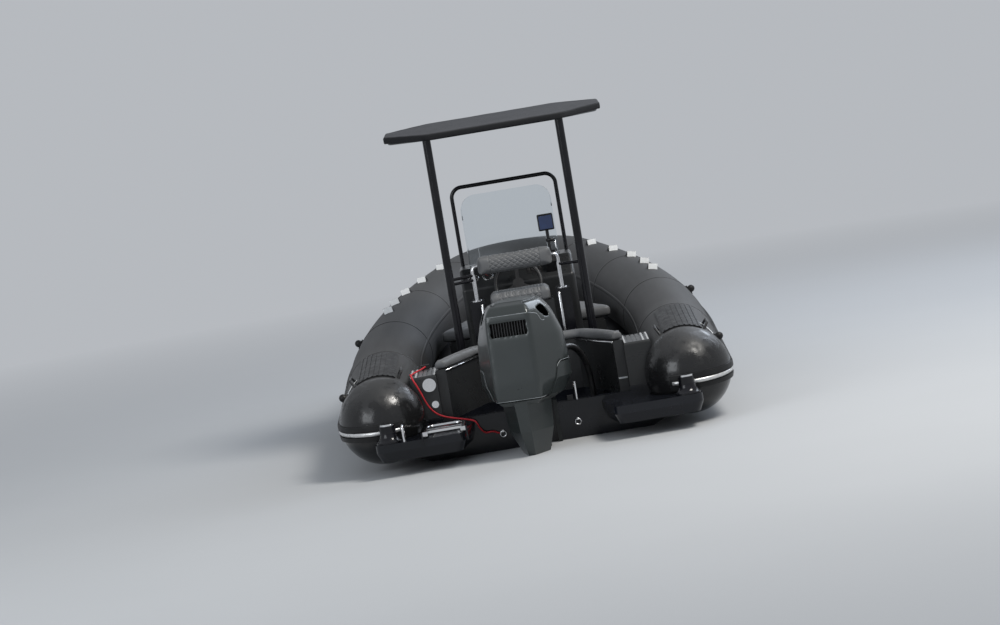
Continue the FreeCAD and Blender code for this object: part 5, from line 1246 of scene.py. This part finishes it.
CAMERA_TARGET = Vector((0.0, 0.0, 0.42))
CAMERA_DISTANCE = 24.0
CAMERA_ELEVATION = math.radians(5.882)
CAMERA_AZIMUTH = math.radians(0.388)
CAMERA_ROLL = math.radians(9.496)
IMAGE_WIDTH = 1000
IMAGE_HEIGHT = 625
FOCAL_PIXELS = 3448.5
TARGET_PIXEL = (533.725, 384.302)
SENSOR_WIDTH = 36.0


def make_camera():
    """A long lens low astern, rolled as the photograph is."""
    lens = bpy.data.cameras.new("camera")
    lens.sensor_width = SENSOR_WIDTH
    lens.lens = FOCAL_PIXELS * SENSOR_WIDTH / IMAGE_WIDTH
    lens.shift_x = (IMAGE_WIDTH / 2 - TARGET_PIXEL[0]) / IMAGE_WIDTH
    lens.shift_y = (TARGET_PIXEL[1] - IMAGE_HEIGHT / 2) / IMAGE_WIDTH
    lens.clip_end = 400
    camera = add_object("camera", lens)
    back = Vector((
        math.sin(CAMERA_AZIMUTH) * math.cos(CAMERA_ELEVATION),
        -math.cos(CAMERA_AZIMUTH) * math.cos(CAMERA_ELEVATION),
        math.sin(CAMERA_ELEVATION),
    ))
    camera.rotation_mode = "QUATERNION"
    turned = back.to_track_quat("Z", "Y")
    camera.rotation_quaternion = turned @ Matrix.Rotation(-CAMERA_ROLL, 3, "Z").to_quaternion()
    camera.location = CAMERA_TARGET + back * CAMERA_DISTANCE
    bpy.context.scene.camera = camera


# Each lamp's place, aim, size, power and colour
LAMPS = {
    "key": ((5.5, -3.0, 10.0), (0, 1.5, 0.4), 3.5, 950, (1.0, 0.97, 0.92)),
    "fill": ((-8.0, -8.0, 5.0), (0, 0, 0.5), 6.0, 400, (0.92, 0.96, 1.0)),
    "rim": ((6.0, 8.0, 7.0), (0, 2, 0.5), 6.0, 420, (0.80, 0.88, 1.0)),
}


def area_light(name, place, aim, size, power, colour):
    light = bpy.data.lights.new(name, "AREA")
    light.size = size
    light.energy = power
    light.color = colour
    lamp = add_object(name, light)
    lamp.location = place
    lamp.rotation_mode = "QUATERNION"
    lamp.rotation_quaternion = (Vector(place) - Vector(aim)).to_track_quat("Z", "Y")


BACKDROP = (0.47, 0.49, 0.52)
FLOOR_COLOUR = (0.47, 0.48, 0.49)
# Distances between which the floor passes into the backdrop
FADE = (5.0, 17.0)
FLOOR_REACH = 160
WORLD_COLOUR = (0.86, 0.92, 1.0)
WORLD_LIGHT = 0.44


def seen_directly(tree):
    """1 where a ray comes from the camera, a mirror or glass."""
    path = tree.nodes.new("ShaderNodeLightPath")
    total = path.outputs["Is Camera Ray"]
    for name in ("Is Glossy Ray", "Is Transmission Ray"):
        either = tree.nodes.new("ShaderNodeMath")
        either.operation = "MAXIMUM"
        tree.links.new(total, either.inputs[0])
        tree.links.new(path.outputs[name], either.inputs[1])
        total = either.outputs[0]
    return total


def floor_material():
    """A pale matt floor that passes into the backdrop far from the boat."""
    paint = Paint("floor", FLOOR_COLOUR, 0.7, Specular_IOR_Level=0.2)
    paint.colours(paint.noise(0.6, 3), [c * 0.99 for c in FLOOR_COLOUR], [c * 1.01 for c in FLOOR_COLOUR])
    tree = paint.tree
    away = paint.add("ShaderNodeVectorMath", operation="LENGTH")
    paint.link(paint.coordinates, away.inputs[0])
    fade = paint.spread(away.outputs["Value"], 0.0, 1.0, *FADE)
    glow = paint.add("ShaderNodeEmission")
    glow.inputs["Color"].default_value = (*BACKDROP, 1)
    mixed = paint.add("ShaderNodeMixShader")
    paint.link(paint.join("MULTIPLY", fade, seen_directly(tree)), mixed.inputs["Fac"])
    paint.link(paint.shader.outputs[0], mixed.inputs[1])
    paint.link(glow.outputs[0], mixed.inputs[2])
    paint.link(mixed.outputs[0], tree.nodes["Material Output"].inputs["Surface"])
    return paint.material


def make_stage():
    """A pale floor at the waterline, a plain world and soft lamps."""
    mesh = bpy.data.meshes.new("floor")
    corners = [(x * FLOOR_REACH, y * FLOOR_REACH, 0) for x, y in ((-1, -1), (1, -1), (1, 1), (-1, 1))]
    mesh.from_pydata(corners, [], [(0, 1, 2, 3)])
    floor = add_object("floor", mesh)
    mesh.materials.append(floor_material())
    world = bpy.data.worlds.new("world")
    world.use_nodes = True
    bpy.context.scene.world = world
    tree = world.node_tree
    light = tree.nodes["Background"]
    light.inputs["Color"].default_value = (*WORLD_COLOUR, 1)
    light.inputs["Strength"].default_value = WORLD_LIGHT
    seen = tree.nodes.new("ShaderNodeBackground")
    seen.inputs["Color"].default_value = (*BACKDROP, 1)
    seen.inputs["Strength"].default_value = 1.0
    mixed = tree.nodes.new("ShaderNodeMixShader")
    tree.links.new(seen_directly(tree), mixed.inputs["Fac"])
    tree.links.new(light.outputs[0], mixed.inputs[1])
    tree.links.new(seen.outputs[0], mixed.inputs[2])
    tree.links.new(mixed.outputs[0], tree.nodes["World Output"].inputs["Surface"])
    for name, settings in LAMPS.items():
        area_light(name, *settings)


bpy.context.scene.view_settings.view_transform = "Standard"
make_camera()
make_stage()
dress_nodes()
make_hose()
make_rope()
make_collar_skin()
make_strake_stripes()
make_seams()
make_webbing()
make_stern_trim()
make_seat_trim()
make_console_trim()
make_hood()
make_cushions()
make_roof()
